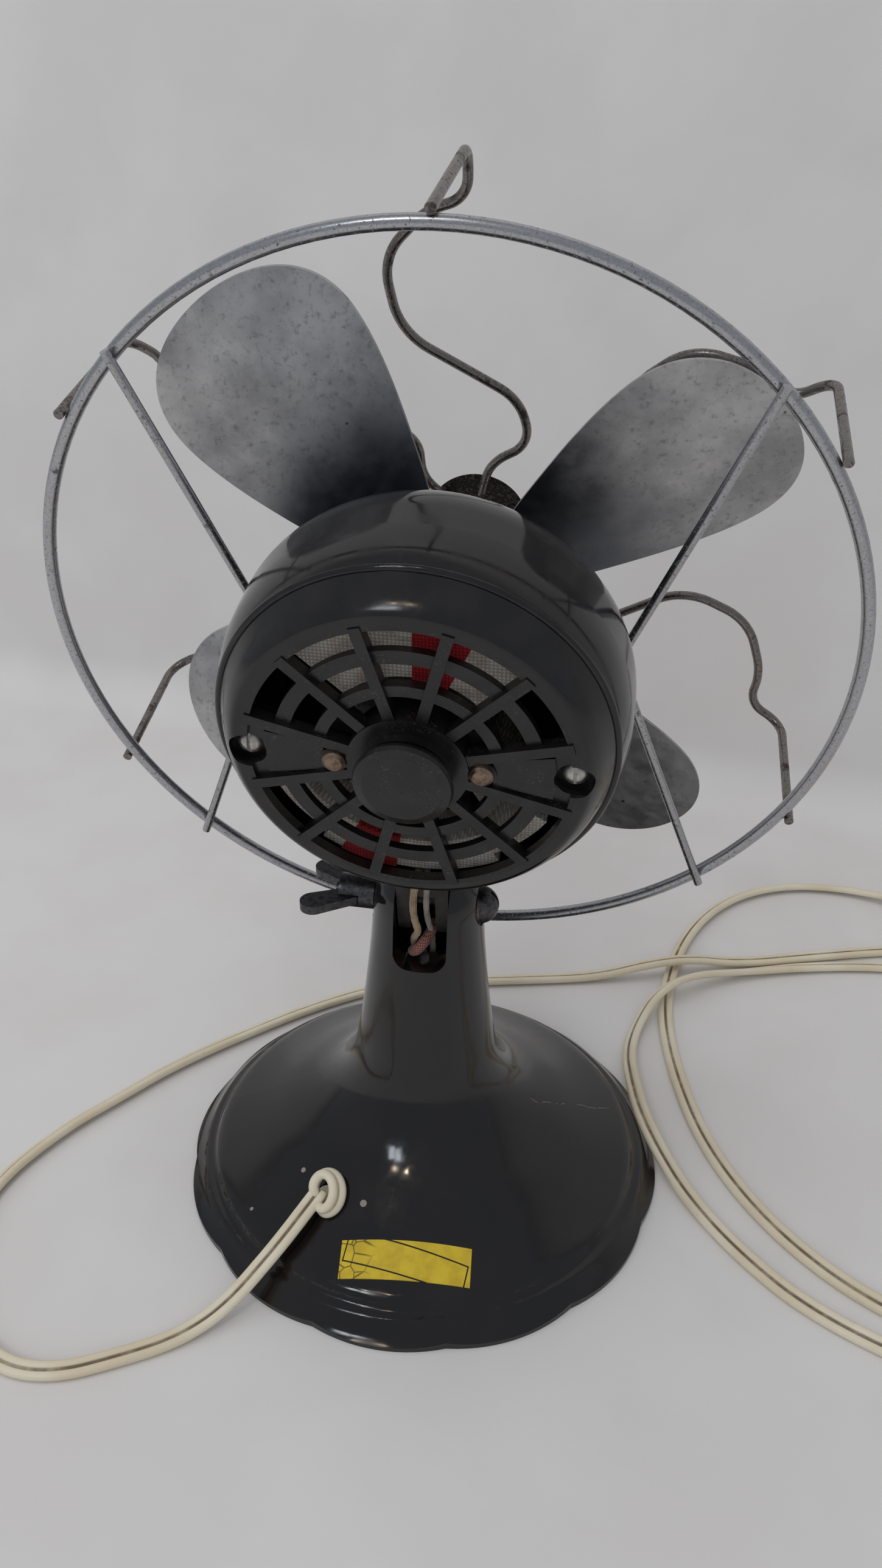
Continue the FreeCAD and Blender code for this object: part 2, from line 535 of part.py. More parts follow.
def make_coil(name):
    """One field coil: an end turn at each side of the core, joined through the core's slots."""
    pole, arcs, sleeve = COILS[name]
    turns = [sector(inner, outer, STATOR_BACK + 1.5, COIL_REAR, start, end)
             for inner, outer, start, end in arcs]
    turns.append(sector(LEG_INNER, LEG_OUTER + 1.6, -3, STATOR_FRONT - 1.5, pole - LEG_END, pole + LEG_END))
    turns += [sector(LEG_INNER, LEG_OUTER, STATOR_FRONT - 2, STATOR_BACK + 2, pole + start, pole + end)
              for start, end in ((-LEG_END, -LEG_START), (LEG_START, LEG_END))]
    coil = turns[0].fuse(turns[1:]).removeSplitter()
    inner, outer = arcs[-1][:2]
    band = sector(inner - SLEEVE, outer + SLEEVE, STATOR_BACK + 1.0, COIL_REAR + SLEEVE, *sleeve)
    keep("field_coil_" + name, coil)
    keep("coil_sleeve_" + name, band.cut(coil))


def make_rotor():
    keep("motor_shaft", cylinder(SHAFT, SHAFT_FRONT, SHAFT_REAR))
    keep("rotor_core", tube(STATOR_BORE - 0.5, SHAFT, STATOR_FRONT + 1, STATOR_BACK - 1))
    rings = [STATOR_FRONT + 1 - END_RING_LENGTH, STATOR_BACK - 1]
    keep("rotor_end_rings", *[tube(END_RING, END_RING_BORE, low, low + END_RING_LENGTH) for low in rings])
    keep("thrust_washers", tube(THRUST_WASHER, SHAFT, 46.4, 47.4), tube(THRUST_WASHER, SHAFT, -2.4, -1.4))


# ---------------------------------------------------------------- fan
HUB_RADIUS = 14.0
BLADE_PLANE = -25.0         # the blade's middle line along the shaft
BLADE_PITCH = 15.7          # degrees across the blade
BLADE_CURVE = 186.0         # radius of the blade's hollow front
ARM_THICKNESS = 1.8
BLADE_OUTLINE = [           # (radius, half width) along one edge, root to tip
    (16.5, 10.0), (26.0, 12.5), (36.0, 16.6), (48.0, 21.0), (60.0, 25.0), (72.0, 28.4),
    (84.0, 30.7), (94.0, 31.0), (104.0, 28.0), (111.5, 21.5), (116.4, 11.5), (BLADE_TIP, 0.0)]
BLADE_RIVETS = (21.0, 31.0)   # distances from the axis
RIVET_SHANK, RIVET_HEAD = 1.6, 3.0
ARM_OUTLINE = [(4, -8.5), (33, -7), (37, -4), (37, 4), (33, 7), (4, 8.5)]
HUB_REAR, HUB_STEP, HUB_FRONT = -20.2, -30.0, -44.0
NOSE_RADIUS = 10.6          # of the hub's narrower front
HUB_SCREW, HUB_SCREW_AT, HUB_SCREW_ANGLE = 2.0, Vector(0, 0, -37), 83


def blade_sheet(inner, outer, start, end):
    """A strip of a cylinder that runs along X, hollow towards the front and turned by the pitch."""
    centre = Vector(0, 0, BLADE_PLANE - BLADE_CURVE)
    sheet = tube(BLADE_CURVE + outer, BLADE_CURVE + inner, start, end, centre, X)
    sheet = sheet.common(block((start - 1, -60, BLADE_PLANE - 30), (end + 1, 60, BLADE_PLANE + 10)))
    return turned(sheet, BLADE_PITCH, Vector(0, 0, BLADE_PLANE), X)


def blade_shape():
    edge = [(x, y, -70) for x, y in BLADE_OUTLINE]
    back = [(x, -y, -70) for x, y in reversed(BLADE_OUTLINE[:-1])]
    outline = Part.Wire([smooth(edge + back), Part.makeLine(Vector(*back[-1]), Vector(*edge[0]))])
    plan = Part.Face(outline).extrude(Z * 90)
    half = BLADE_THICKNESS / 2
    return blade_sheet(-half, half, 10, 125).common(plan)


def rivet_shape(radius, at):
    rivet = cylinder(radius, -7, 7, Vector(at, 0, 0))
    return turned(rivet, BLADE_PITCH, ORIGIN, X).translated(Vector(0, 0, BLADE_PLANE))


def blade_rivet(at):
    """A rivet through the blade and the hub's arm, with a low head on each side."""
    rear, front = BLADE_THICKNESS / 2, -BLADE_THICKNESS / 2 - ARM_THICKNESS
    ends = (BLADE_OUTLINE[0][0] - 6, BLADE_TIP)
    shank = rivet_shape(RIVET_SHANK, at).common(blade_sheet(front, rear, *ends))
    heads = [rivet_shape(RIVET_HEAD, at).common(blade_sheet(low, high, *ends))
             for low, high in ((rear, rear + 1.1), (front - 1.3, front))]
    return shank.fuse(heads).removeSplitter()


def hub_shape(arms):
    """Die-cast hub: a chamfered boss, a narrower nose and the four blade arms."""
    boss = profile([(0, HUB_STEP), (HUB_RADIUS, HUB_STEP), (HUB_RADIUS, HUB_REAR - 2.2),
                    (HUB_RADIUS - 5, HUB_REAR), (0, HUB_REAR)])
    nose = profile([(0, HUB_STEP), (NOSE_RADIUS, HUB_STEP), (NOSE_RADIUS, HUB_FRONT + 2),
                    (NOSE_RADIUS - 1, HUB_FRONT), (0, HUB_FRONT)])
    return boss.fuse([nose] + arms).cut(cylinder(SHAFT, -ALL, 0))


def make_fan():
    half = BLADE_THICKNESS / 2
    arm = blade_sheet(-half - ARM_THICKNESS, -half, ARM_OUTLINE[0][0], ARM_OUTLINE[2][0])
    arm = arm.common(prism(ARM_OUTLINE, -ALL, ALL))
    holes = Part.makeCompound([rivet_shape(RIVET_SHANK, at) for at in BLADE_RIVETS])
    blade = blade_shape().cut(holes)
    rivets = [blade_rivet(at) for at in BLADE_RIVETS]
    angles = [BLADE_ANGLE + i * 360 / BLADES for i in range(BLADES)]
    blades = [turned(blade, angle) for angle in angles]
    for i in range(BLADES):
        keep("blade_%d" % (i + 1), blades[i])
    keep("blade_rivets", *[turned(rivet, angle) for angle in angles for rivet in rivets])
    screw_way = at_angle(1, HUB_SCREW_ANGLE)
    hub = hub_shape([turned(arm.cut(holes), angle) for angle in angles])
    hub = hub.cut(Part.makeCompound(blades)).cut(cylinder(HUB_SCREW, 0, ALL, HUB_SCREW_AT, screw_way))
    keep("fan_hub", hub.removeSplitter().Solids[0])
    keep("hub_screw", cylinder(HUB_SCREW, SHAFT, NOSE_RADIUS - 0.8, HUB_SCREW_AT, screw_way))


# ---------------------------------------------------------------- guard
WIRE_LEG = GUARD_RADIUS + RING_WIRE + GUARD_WIRE + 0.05   # the front wires lie outside the ring
WIRE_ROUTE = [              # (out from the axis, sideways, along the motor's axis), ring to hub disc
    (WIRE_LEG, 0.0, 1.8), (WIRE_LEG, -0.6, -24.0), (WIRE_LEG, -1.2, -49.5), (114.5, -0.8, -52.0),
    (110.5, 11.5, -53.0), (96.0, 25.5, -56.5), (72.0, 22.0, -61.0), (60.5, 2.0, -63.2),
    (50.5, -15.0, -65.0), (34.5, -19.0, -67.0), (25.0, -5.0, -70.0), (11.0, -1.5, -73.9)]
DISC_RADIUS = 17.6
DISC_BACK = -75.5
LUG_THICKNESS = 2.2
LUG_SCREW, LUG_SCREW_HEIGHT, LUG_SCREW_LENGTH = 3.6, 2.2, 10.0
STAY_SPREAD = 45.0          # angle of the stays' ends on the ring
STAY_OVERHANG = 2.0         # a stay's end beyond the ring's middle


def make_guard():
    keep("guard_ring", Part.makeTorus(GUARD_RADIUS, RING_WIRE))
    wire = round_bar(rounded_route(WIRE_ROUTE, report="front wire"), GUARD_WIRE)
    for i, angle in enumerate(WIRE_ANGLES):
        keep("guard_wire_%d" % (i + 1), turned(wire, angle))
    keep("guard_hub_disc", profile([(0, DISC_BACK - 2.8), (9, DISC_BACK - 2.4), (15, DISC_BACK - 1.2),
                                    (DISC_RADIUS, DISC_BACK), (DISC_RADIUS, DISC_BACK + 0.1),
                                    (0, DISC_BACK + 0.1)]))
    lugs, screws, number = [], [], 0
    for side in (1, -1):
        outward = X * side
        centre = LUG_LEVEL + outward * (LUG_SEAT + 0.05 + LUG_THICKNESS / 2)
        half = LUG_THICKNESS / 2
        lugs.append(tube(LUG_RADIUS, M3_HOLE, -half, half, centre, outward))
        screws.append(domed_screw(LUG_SCREW, LUG_SCREW_HEIGHT, M3_SHANK, LUG_SCREW_LENGTH,
                                  centre + outward * half, outward))
        for up in (1, -1):
            number += 1
            end = at_angle(GUARD_RADIUS, STAY_SPREAD, RING_WIRE + STAY_WIRE + 0.05)
            end = Vector(side * end.x, up * end.y, end.z)
            towards = end - centre
            towards.normalize()
            start = centre + towards * (LUG_RADIUS + 0.6)
            keep("guard_stay_%d" % number, straight_bar(start, end + towards * STAY_OVERHANG, STAY_WIRE))
    keep("guard_lugs", *lugs)
    keep("guard_lug_screws", *screws)


# ---------------------------------------------------------------- neck
CHEEK_IN, CHEEK_OUT = 4.2, 8.4
CHEEK_ROUND = 10.5
WEB_LOW, WEB_TOP = -65.5, -55.0
WEB_AHEAD, WEB_BEHIND = 12.5, 10.5     # reach of the saddle either side of the tilt bolt
NECK_SCREW_SHANK, NECK_SCREW_HEAD = 1.45, 2.8


def make_neck():
    """Fork under the housing: two cheeks on the tilt bolt and a saddle that meets the housing."""
    pivot = Vector(0, -AXIS_ABOVE_PIVOT, RING_AHEAD)
    neck = block((-CHEEK_OUT, WEB_LOW, RING_AHEAD - WEB_AHEAD), (CHEEK_OUT, WEB_TOP, RING_AHEAD + WEB_BEHIND))
    for side in (-1, 1):
        near, far = sorted((side * CHEEK_IN, side * CHEEK_OUT))
        cheek = block((near, pivot.y, RING_AHEAD - CHEEK_ROUND), (far, WEB_TOP, RING_AHEAD + CHEEK_ROUND))
        neck = neck.fuse([cheek, cylinder(CHEEK_ROUND, near, far, pivot, X)])
    cuts = [bowl(BOWL_RADIUS, NOSE_REACH),
            cylinder(LIP[1][0] + 0.5, SEAM - 0.1, ALL),
            cylinder(BOLT + RUNNING, -ALL, ALL, pivot, X),
            cylinder(LEAD_HOLE - 0.2, 50, ALL, LEAD_HOLE_AT, Y * -1),
            cylinder(NECK_SCREW_HOLE, 50, -WEB_LOW - 1, NECK_SCREW_AT, Y * -1)]
    for cut in cuts:
        neck = neck.cut(cut)
    keep("neck", neck.removeSplitter().Solids[0])
    seat = BOWL_RADIUS - BOWL_WALL
    head = cylinder(NECK_SCREW_HEAD, seat - 2.6, seat - 0.4, NECK_SCREW_AT, Y * -1)
    shank = cylinder(NECK_SCREW_SHANK, seat - 1, -WEB_LOW - 1.5, NECK_SCREW_AT, Y * -1)
    keep("neck_screw", head.fuse(shank))


# ---------------------------------------------------------------- leads
LEADS = 2.2                 # radius of the three leads' bundle


def make_head_lead():
    """The motor's leads from the housing to just above the tilt bolt."""
    rear = LEAD_HOLE_AT.z
    route = [(0, WEB_TOP + 1, rear), (0, WEB_LOW + 1.5, rear + 0.1), (0.3, WEB_LOW - 6, rear + 0.9)]
    keep("head_leads", round_bar(rounded_route(route), LEADS))


def make_stand_lead():
    """The same leads from the slot down inside the column to the terminal block."""
    route = [(0, 6.4, PIVOT_HEIGHT - 10), (0, 3.0, PIVOT_HEIGHT - 24), (0, 4.0, 60), (0, 9.5, 36),
             (0, 16.0, TERMINALS_HIGH.z + 8), (0, 16.0, TERMINALS_HIGH.z + 0.1)]
    keep("stand_leads", round_bar(rounded_route(route), LEADS))


# ---------------------------------------------------------------- flex
KNOT = CORD_HOLE + CORD_OUT * 4.2
KNOT_SIZE = 6.6
PLUG_LENGTH, PLUG_THICK = 36.5, 13.6
PLUG_OUTLINE = [(0, 6), (8, 7.2), (18, 13), (PLUG_LENGTH, 13)]   # half width along the plug
PLUG_CORNER, PLUG_EDGE = 4.0, 2.2
PIN, PIN_LENGTH, PIN_PITCH = 2.0, 19.0, 18.6
RIM_CLEAR = ON_TABLE + 9.0  # where the flex rests on the base's rim
CORD_ROUTE = [
    # down the dome from the knot, over the rim to the table, and round behind the base
    (30.6, 57.4, 23.6), (34.4, 63.6, 20.0), (39.0, 70.0, 15.6), (43.6, 76.0, 11.6), (49.0, 82.2, 7.6),
    (56.0, 89.4, 4.6), (65.4, 97.0, ON_TABLE), (78.4, 104.8, ON_TABLE), (94.0, 113.0, ON_TABLE),
    (110.0, 114.5, ON_TABLE), (126.0, 107.0, ON_TABLE), (140.0, 91.0, ON_TABLE), (147.8, 70.0, ON_TABLE),
    (148.8, 46.0, ON_TABLE), (135.5, 17.0, ON_TABLE), (122.0, -1.5, ON_TABLE), (108.5, -21.5, ON_TABLE),
    (88.0, -44.0, ON_TABLE), (61.0, -70.5, ON_TABLE), (33.0, -90.0, ON_TABLE), (4.0, -98.5, ON_TABLE),
    (-30.0, -106.8, ON_TABLE), (-58.0, -114.0, ON_TABLE),
    # over the inner turn and out to the far side of the outer turn
    (-82.0, -121.5, OVER), (-100.0, -128.5, OVER), (-122.0, -136.6, ON_TABLE), (-158.0, -149.4, ON_TABLE),
    (-196.0, -161.5, ON_TABLE), (-229.0, -166.5, ON_TABLE), (-259.0, -148.0, ON_TABLE),
    (-268.0, -108.0, ON_TABLE), (-266.0, -56.0, ON_TABLE), (-255.0, -4.0, ON_TABLE),
    (-239.0, 44.0, ON_TABLE), (-208.0, 73.0, ON_TABLE),
    # outer turn, resting on the base's rim and then crossing the inner turn
    (-172.0, 63.0, ON_TABLE), (-137.0, 48.0, ON_TABLE), (-114.0, 27.5, ON_TABLE),
    (-97.5, 7.0, ON_TABLE + 1), (-87.0, -11.0, ON_TABLE + 5), (-79.5, -27.0, RIM_CLEAR),
    (-76.0, -46.0, ON_TABLE + 5), (-74.0, -64.0, ON_TABLE + 1), (-76.5, -82.0, ON_TABLE),
    (-84.5, -100.0, OVER), (-99.0, -115.5, OVER), (-122.0, -128.5, ON_TABLE), (-156.0, -141.0, ON_TABLE),
    (-198.0, -148.5, ON_TABLE), (-226.0, -143.0, ON_TABLE), (-245.0, -122.0, ON_TABLE),
    (-252.0, -86.0, ON_TABLE), (-249.0, -40.0, ON_TABLE), (-237.0, 8.0, ON_TABLE), (-212.0, 44.0, ON_TABLE),
    # inner turn and the plug
    (-178.0, 50.0, ON_TABLE), (-152.0, 37.5, ON_TABLE), (-131.0, 19.5, ON_TABLE), (-115.0, -1.5, ON_TABLE),
    (-103.0, -25.0, ON_TABLE), (-95.0, -52.0, ON_TABLE), (-90.0, -78.0, ON_TABLE),
    (-88.6, -101.0, ON_TABLE), (-91.5, -126.0, ON_TABLE), (-97.5, -150.0, ON_TABLE),
    (-108.5, -173.0, ON_TABLE), (-124.5, -192.0, ON_TABLE), (-146.0, -204.5, ON_TABLE),
    (-170.0, -208.5, ON_TABLE), (-193.0, -204.5, ON_TABLE + 1), (-212.0, -197.5, PLUG_THICK / 2)]


def make_cord():
    knot = Part.makeSphere(KNOT_SIZE, KNOT)
    route = [KNOT + (Vector(*CORD_ROUTE[0]) - KNOT).normalize() * KNOT_SIZE] + CORD_ROUTE[1:]
    wire = rounded_route(route, report="flex")
    cord = round_bar(wire, CORD_WIDTH / 2)
    expected = math.pi * (CORD_WIDTH / 2) ** 2 * wire.Length
    print("flex volume over section times length", round(cord.Volume / expected, 4))
    keep("cord_knot", knot.cut(stand_outside()).cut(cord).Solids[0])
    keep("power_cord", cord)


def make_cord_tail():
    """The flex inside the stand, from under the knot to the terminal block."""
    hole = CORD_HOLE - CORD_OUT * 0.2
    block_side = TERMINALS_HIGH.x + CORD_WIDTH / 2
    route = [hole, CORD_HOLE - CORD_OUT * 12, (block_side + 5.9, 22, PLATE_TOP + 6),
             (block_side + 0.5, 17, PLATE_TOP + 5)]
    keep("cord_tail", round_bar(rounded_route(route), CORD_WIDTH / 2 - 0.1))


def make_plug():
    """Flat two-pin plug at the end of the route, in line with its last run."""
    before, end = (Vector(*p) for p in CORD_ROUTE[-2:])
    along = Vector(end.x - before.x, end.y - before.y, 0)
    turn = math.degrees(math.atan2(along.y, along.x))
    middle = PLUG_THICK / 2
    outline = [(x, -y) for x, y in PLUG_OUTLINE] + PLUG_OUTLINE[::-1]
    body = prism(outline, -middle, middle)
    corners = [e for e in body.Edges if abs(e.CenterOfMass.z) < 0.01 and e.CenterOfMass.x > PLUG_LENGTH / 4]
    body = body.makeFillet(PLUG_CORNER, corners)
    body = body.makeFillet(PLUG_EDGE, [e for e in body.Edges if abs(abs(e.CenterOfMass.z) - middle) < 0.01])
    pins = [cylinder(PIN, PLUG_LENGTH - 2, PLUG_LENGTH + PIN_LENGTH, Vector(0, s * PIN_PITCH / 2, 0), X)
            for s in (-1, 1)]
    body = body.cut(Part.makeCompound(pins))
    place = FreeCAD.Placement(Vector(end.x, end.y, middle), FreeCAD.Rotation(Z, turn))
    for shape in [body] + pins:
        shape.Placement = place.multiply(shape.Placement)
    keep("plug_body", body.cut(nodes["power_cord"]))
    keep("plug_pins", *pins)


# ---------------------------------------------------------------- putting it together
def motor_placement():
    """Where the motor's frame lies in the fan's frame, with the head at its rest tilt."""
    tilt = math.radians(HEAD_TILT)
    up = Vector(0, math.sin(tilt), math.cos(tilt))
    back = Vector(0, math.cos(tilt), -math.sin(tilt))
    turn = FreeCAD.Matrix(-1, up.x, back.x, 0, 0, up.y, back.y, 0, 0, up.z, back.z, 0, 0, 0, 0, 1)
    pivot = turn.multVec(Vector(0, -AXIS_ABOVE_PIVOT, RING_AHEAD))
    place = FreeCAD.Placement(turn)
    place.Base = Vector(0, 0, PIVOT_HEIGHT) - pivot
    return place


def make_head():
    make_motor_housing()
    make_rear_cover()
    make_bearing_cap()
    make_cover_fittings()
    make_bearings()
    make_stator()
    make_coil("top")
    make_coil("bottom")
    make_rotor()
    make_fan()
    make_guard()
    make_neck()
    make_head_lead()


def make_stand():
    make_base_column()
    make_underside()
    make_terminals()
    make_label()
    make_tilt_bolt()
    make_stand_lead()
    make_cord()
    make_cord_tail()
    make_plug()


make_head()
place = motor_placement()
for shape in nodes.values():
    shape.Placement = place.multiply(shape.Placement)
make_stand()
print("motor frame at", [round(v, 2) for v in place.Base], "and", len(nodes), "nodes")
for name, shape in nodes.items():
    if not shape.isValid() or not shape.Solids:
        print("BAD", name, shape.ShapeType, len(shape.Solids))
    shape.exportStep("parts/%s.step" % name)
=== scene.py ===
"""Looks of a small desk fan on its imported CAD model: materials, flex, leads, label, light and camera.

Metres, +Z up, in the CAD model's own frame.  The fan blows towards -Y and the camera looks at its back.
"""
import math
import bmesh
import bpy
from mathutils import Matrix, Vector


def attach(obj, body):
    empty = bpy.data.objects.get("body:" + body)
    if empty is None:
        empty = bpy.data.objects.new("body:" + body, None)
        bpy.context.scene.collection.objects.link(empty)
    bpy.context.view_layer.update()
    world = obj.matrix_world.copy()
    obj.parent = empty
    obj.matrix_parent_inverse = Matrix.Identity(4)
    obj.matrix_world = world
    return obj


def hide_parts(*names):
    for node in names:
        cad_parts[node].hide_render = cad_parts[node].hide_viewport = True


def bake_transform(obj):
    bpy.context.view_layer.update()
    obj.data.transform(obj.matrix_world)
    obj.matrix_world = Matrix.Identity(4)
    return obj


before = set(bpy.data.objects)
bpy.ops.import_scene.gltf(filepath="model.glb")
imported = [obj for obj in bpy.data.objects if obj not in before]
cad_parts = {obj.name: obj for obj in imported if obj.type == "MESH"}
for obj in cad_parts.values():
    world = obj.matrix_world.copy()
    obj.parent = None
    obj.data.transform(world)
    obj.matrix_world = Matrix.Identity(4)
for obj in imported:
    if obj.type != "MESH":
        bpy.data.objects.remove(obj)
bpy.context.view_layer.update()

# ---------------------------------------------------------------- driving values
PIVOT = Vector((0, 0, 0.115))       # tilt bolt
AXIS_ABOVE_PIVOT = 0.0777           # motor axis above the tilt bolt, with the head level
RING_AHEAD = 0.0357
HEAD_TILT = math.radians(13.5)

CAMERA_PLACE = Vector((-0.0554, 0.3278, 0.3467))
CAMERA_YAW, CAMERA_PITCH, CAMERA_ROLL = 0.1577, -0.5148, -0.0222
LENS, SENSOR = 27.92, 36.0

CORD_WIDTH = 0.0062
CORE = CORD_WIDTH / 4               # radius of one core of the twin flex
ON_TABLE = 0.0032
OVER = ON_TABLE + 0.005             # top of a hump where the flex crosses itself
PLUG_MIDDLE = 0.0068                # height of the plug's middle where the flex meets it
LIFTED = 0.010                      # above the table by this much, the flex isn't lowered onto it
FLEX_STEP = 0.0022                  # between the flex's rings
FINE_STEP = 0.0007                  # between the rings of the knot and the leads
KNOT_SWELL = 1.06                   # the cores bulge a little where they are bent so tightly


def motor_matrix():
    """From the motor's frame (x right and y up seen from behind, z to the rear) to the row's frame."""
    up = Vector((0, math.sin(HEAD_TILT), math.cos(HEAD_TILT)))
    back = Vector((0, math.cos(HEAD_TILT), -math.sin(HEAD_TILT)))
    turn = Matrix(((-1, up.x, back.x), (0, up.y, back.y), (0, up.z, back.z)))
    base = PIVOT - turn @ Vector((0, -AXIS_ABOVE_PIVOT, RING_AHEAD))
    return Matrix.Translation(base) @ turn.to_4x4()


MOTOR = motor_matrix()


# ---------------------------------------------------------------- camera
def make_camera():
    right, look, down = Vector((-1, 0, 0)), Vector((0, -1, 0)), Vector((0, 0, -1))
    turn = Matrix.Rotation(CAMERA_YAW, 3, "Z")
    right, look, down = turn @ right, turn @ look, turn @ down
    turn = Matrix.Rotation(CAMERA_PITCH, 3, right)
    look, down = turn @ look, turn @ down
    turn = Matrix.Rotation(CAMERA_ROLL, 3, look)
    right, down = turn @ right, turn @ down
    data = bpy.data.cameras.new("camera")
    data.lens = LENS
    data.sensor_width = SENSOR
    data.clip_start = 0.01
    camera = bpy.data.objects.new("camera", data)
    bpy.context.scene.collection.objects.link(camera)
    axes = Matrix((right, -down, -look)).transposed().to_4x4()
    camera.matrix_world = Matrix.Translation(CAMERA_PLACE) @ axes
    bpy.context.scene.camera = camera


make_camera()


# ---------------------------------------------------------------- mesh helpers
def add_mesh(name, build, material=None, smooth=True):
    """A new mesh object whose bmesh build(bm) fills."""
    mesh = bpy.data.meshes.new(name)
    bm = bmesh.new()
    build(bm)
    bm.to_mesh(mesh)
    bm.free()
    for face in mesh.polygons:
        face.use_smooth = smooth
    piece = bpy.data.objects.new(name, mesh)
    bpy.context.scene.collection.objects.link(piece)
    if material:
        mesh.materials.append(material)
    return piece


def nurbs_line(points, resolution=10):
    """Points read from a smooth NURBS line with these control points."""
    curve = bpy.data.curves.new("line", "CURVE")
    curve.dimensions = "3D"
    curve.resolution_u = resolution
    spline = curve.splines.new("NURBS")
    spline.points.add(len(points) - 1)
    for point, place in zip(spline.points, points):
        point.co = (*place, 1.0)
    spline.order_u = 3
    spline.use_endpoint_u = True
    carrier = bpy.data.objects.new("line", curve)
    bpy.context.scene.collection.objects.link(carrier)
    mesh = bpy.data.meshes.new_from_object(carrier)
    found = [v.co.copy() for v in mesh.vertices]
    bpy.data.objects.remove(carrier)
    bpy.data.meshes.remove(mesh)
    return found


def respaced(points, step):
    """The same line with points a step apart."""
    made, left = [points[0].copy()], step
    for a, b in zip(points, points[1:]):
        run = (b - a).length
        while left < run:
            made.append(a.lerp(b, left / run))
            left += step
        left -= run
    made.append(points[-1].copy())
    return made


def tangents(points):
    ends = [points[0]] + points + [points[-1]]
    return [(after - before).normalized() for before, after in zip(ends, ends[2:])]


def circle(centre, side, other, radius, count):
    """Points round a centre, in the plane of two directions at right angles."""
    angles = (2 * math.pi * k / count for k in range(count))
    return [centre + side * radius * math.cos(t) + other * radius * math.sin(t) for t in angles]


def sweep(bm, rings):
    """Skins rings of points and closes the ends."""
    made = [[bm.verts.new(p) for p in ring] for ring in rings]
    count = len(made[0])
    for one, two in zip(made, made[1:]):
        for i in range(count):
            j = (i + 1) % count
            bm.faces.new((one[i], one[j], two[j], two[i]))
    bm.faces.new(list(reversed(made[0])))
    bm.faces.new(made[-1])
    bm.normal_update()


# ---------------------------------------------------------------- flex
CORD_HOLE = Vector((0.0257, 0.0478, 0.0228))
CORD_OUT = Vector((0.243, 0.453, 0.857))
KNOT = CORD_HOLE + CORD_OUT.normalized() * 0.0042
CORD_ROUTE = [              # the CAD route's points again, lower where the flex lies on the base's rim
    # down the dome from the knot, over the rim to the table, and round behind the base
    (0.0306, 0.0574, 0.0236), (0.0344, 0.0636, 0.02), (0.039, 0.07, 0.0156), (0.0436, 0.076, 0.0116),
    (0.049, 0.0822, 0.0076), (0.056, 0.0894, 0.0046), (0.0654, 0.097, ON_TABLE),
    (0.0784, 0.1048, ON_TABLE), (0.094, 0.113, ON_TABLE), (0.11, 0.1145, ON_TABLE),
    (0.126, 0.107, ON_TABLE), (0.14, 0.091, ON_TABLE), (0.1478, 0.07, ON_TABLE),
    (0.1488, 0.046, ON_TABLE), (0.1355, 0.017, ON_TABLE), (0.122, -0.0015, ON_TABLE),
    (0.1085, -0.0215, ON_TABLE), (0.088, -0.044, ON_TABLE), (0.061, -0.0705, ON_TABLE),
    (0.033, -0.09, ON_TABLE), (0.004, -0.0985, ON_TABLE), (-0.03, -0.1068, ON_TABLE),
    (-0.058, -0.114, ON_TABLE),
    # over the inner turn and out to the far side of the outer turn
    (-0.082, -0.1215, OVER), (-0.1, -0.1285, OVER), (-0.122, -0.1366, ON_TABLE),
    (-0.158, -0.1494, ON_TABLE), (-0.196, -0.1615, ON_TABLE), (-0.229, -0.1665, ON_TABLE),
    (-0.259, -0.148, ON_TABLE), (-0.268, -0.108, ON_TABLE), (-0.266, -0.056, ON_TABLE),
    (-0.255, -0.004, ON_TABLE), (-0.239, 0.044, ON_TABLE), (-0.208, 0.073, ON_TABLE),
    # outer turn, resting on the base's rim and then crossing the inner turn
    (-0.172, 0.063, ON_TABLE), (-0.137, 0.048, ON_TABLE), (-0.114, 0.0275, ON_TABLE),
    (-0.0975, 0.007, ON_TABLE + 0.0006), (-0.087, -0.011, ON_TABLE + 0.0028),
    (-0.0795, -0.027, ON_TABLE + 0.0053), (-0.076, -0.046, ON_TABLE + 0.0033),
    (-0.074, -0.064, ON_TABLE + 0.0005), (-0.0765, -0.082, ON_TABLE), (-0.0845, -0.1, OVER),
    (-0.099, -0.1155, OVER), (-0.122, -0.1285, ON_TABLE), (-0.156, -0.141, ON_TABLE),
    (-0.198, -0.1485, ON_TABLE), (-0.226, -0.143, ON_TABLE), (-0.245, -0.122, ON_TABLE),
    (-0.252, -0.086, ON_TABLE), (-0.249, -0.04, ON_TABLE), (-0.237, 0.008, ON_TABLE),
    (-0.212, 0.044, ON_TABLE),
    # inner turn and the plug
    (-0.178, 0.05, ON_TABLE), (-0.152, 0.0375, ON_TABLE), (-0.131, 0.0195, ON_TABLE),
    (-0.115, -0.0015, ON_TABLE), (-0.103, -0.025, ON_TABLE), (-0.095, -0.052, ON_TABLE),
    (-0.09, -0.078, ON_TABLE), (-0.0886, -0.101, ON_TABLE), (-0.0915, -0.126, ON_TABLE),
    (-0.0975, -0.15, ON_TABLE), (-0.1085, -0.173, ON_TABLE), (-0.1245, -0.192, ON_TABLE),
    (-0.146, -0.2045, ON_TABLE), (-0.17, -0.2085, ON_TABLE), (-0.193, -0.2045, ON_TABLE + 0.001),
    (-0.212, -0.1975, PLUG_MIDDLE)]
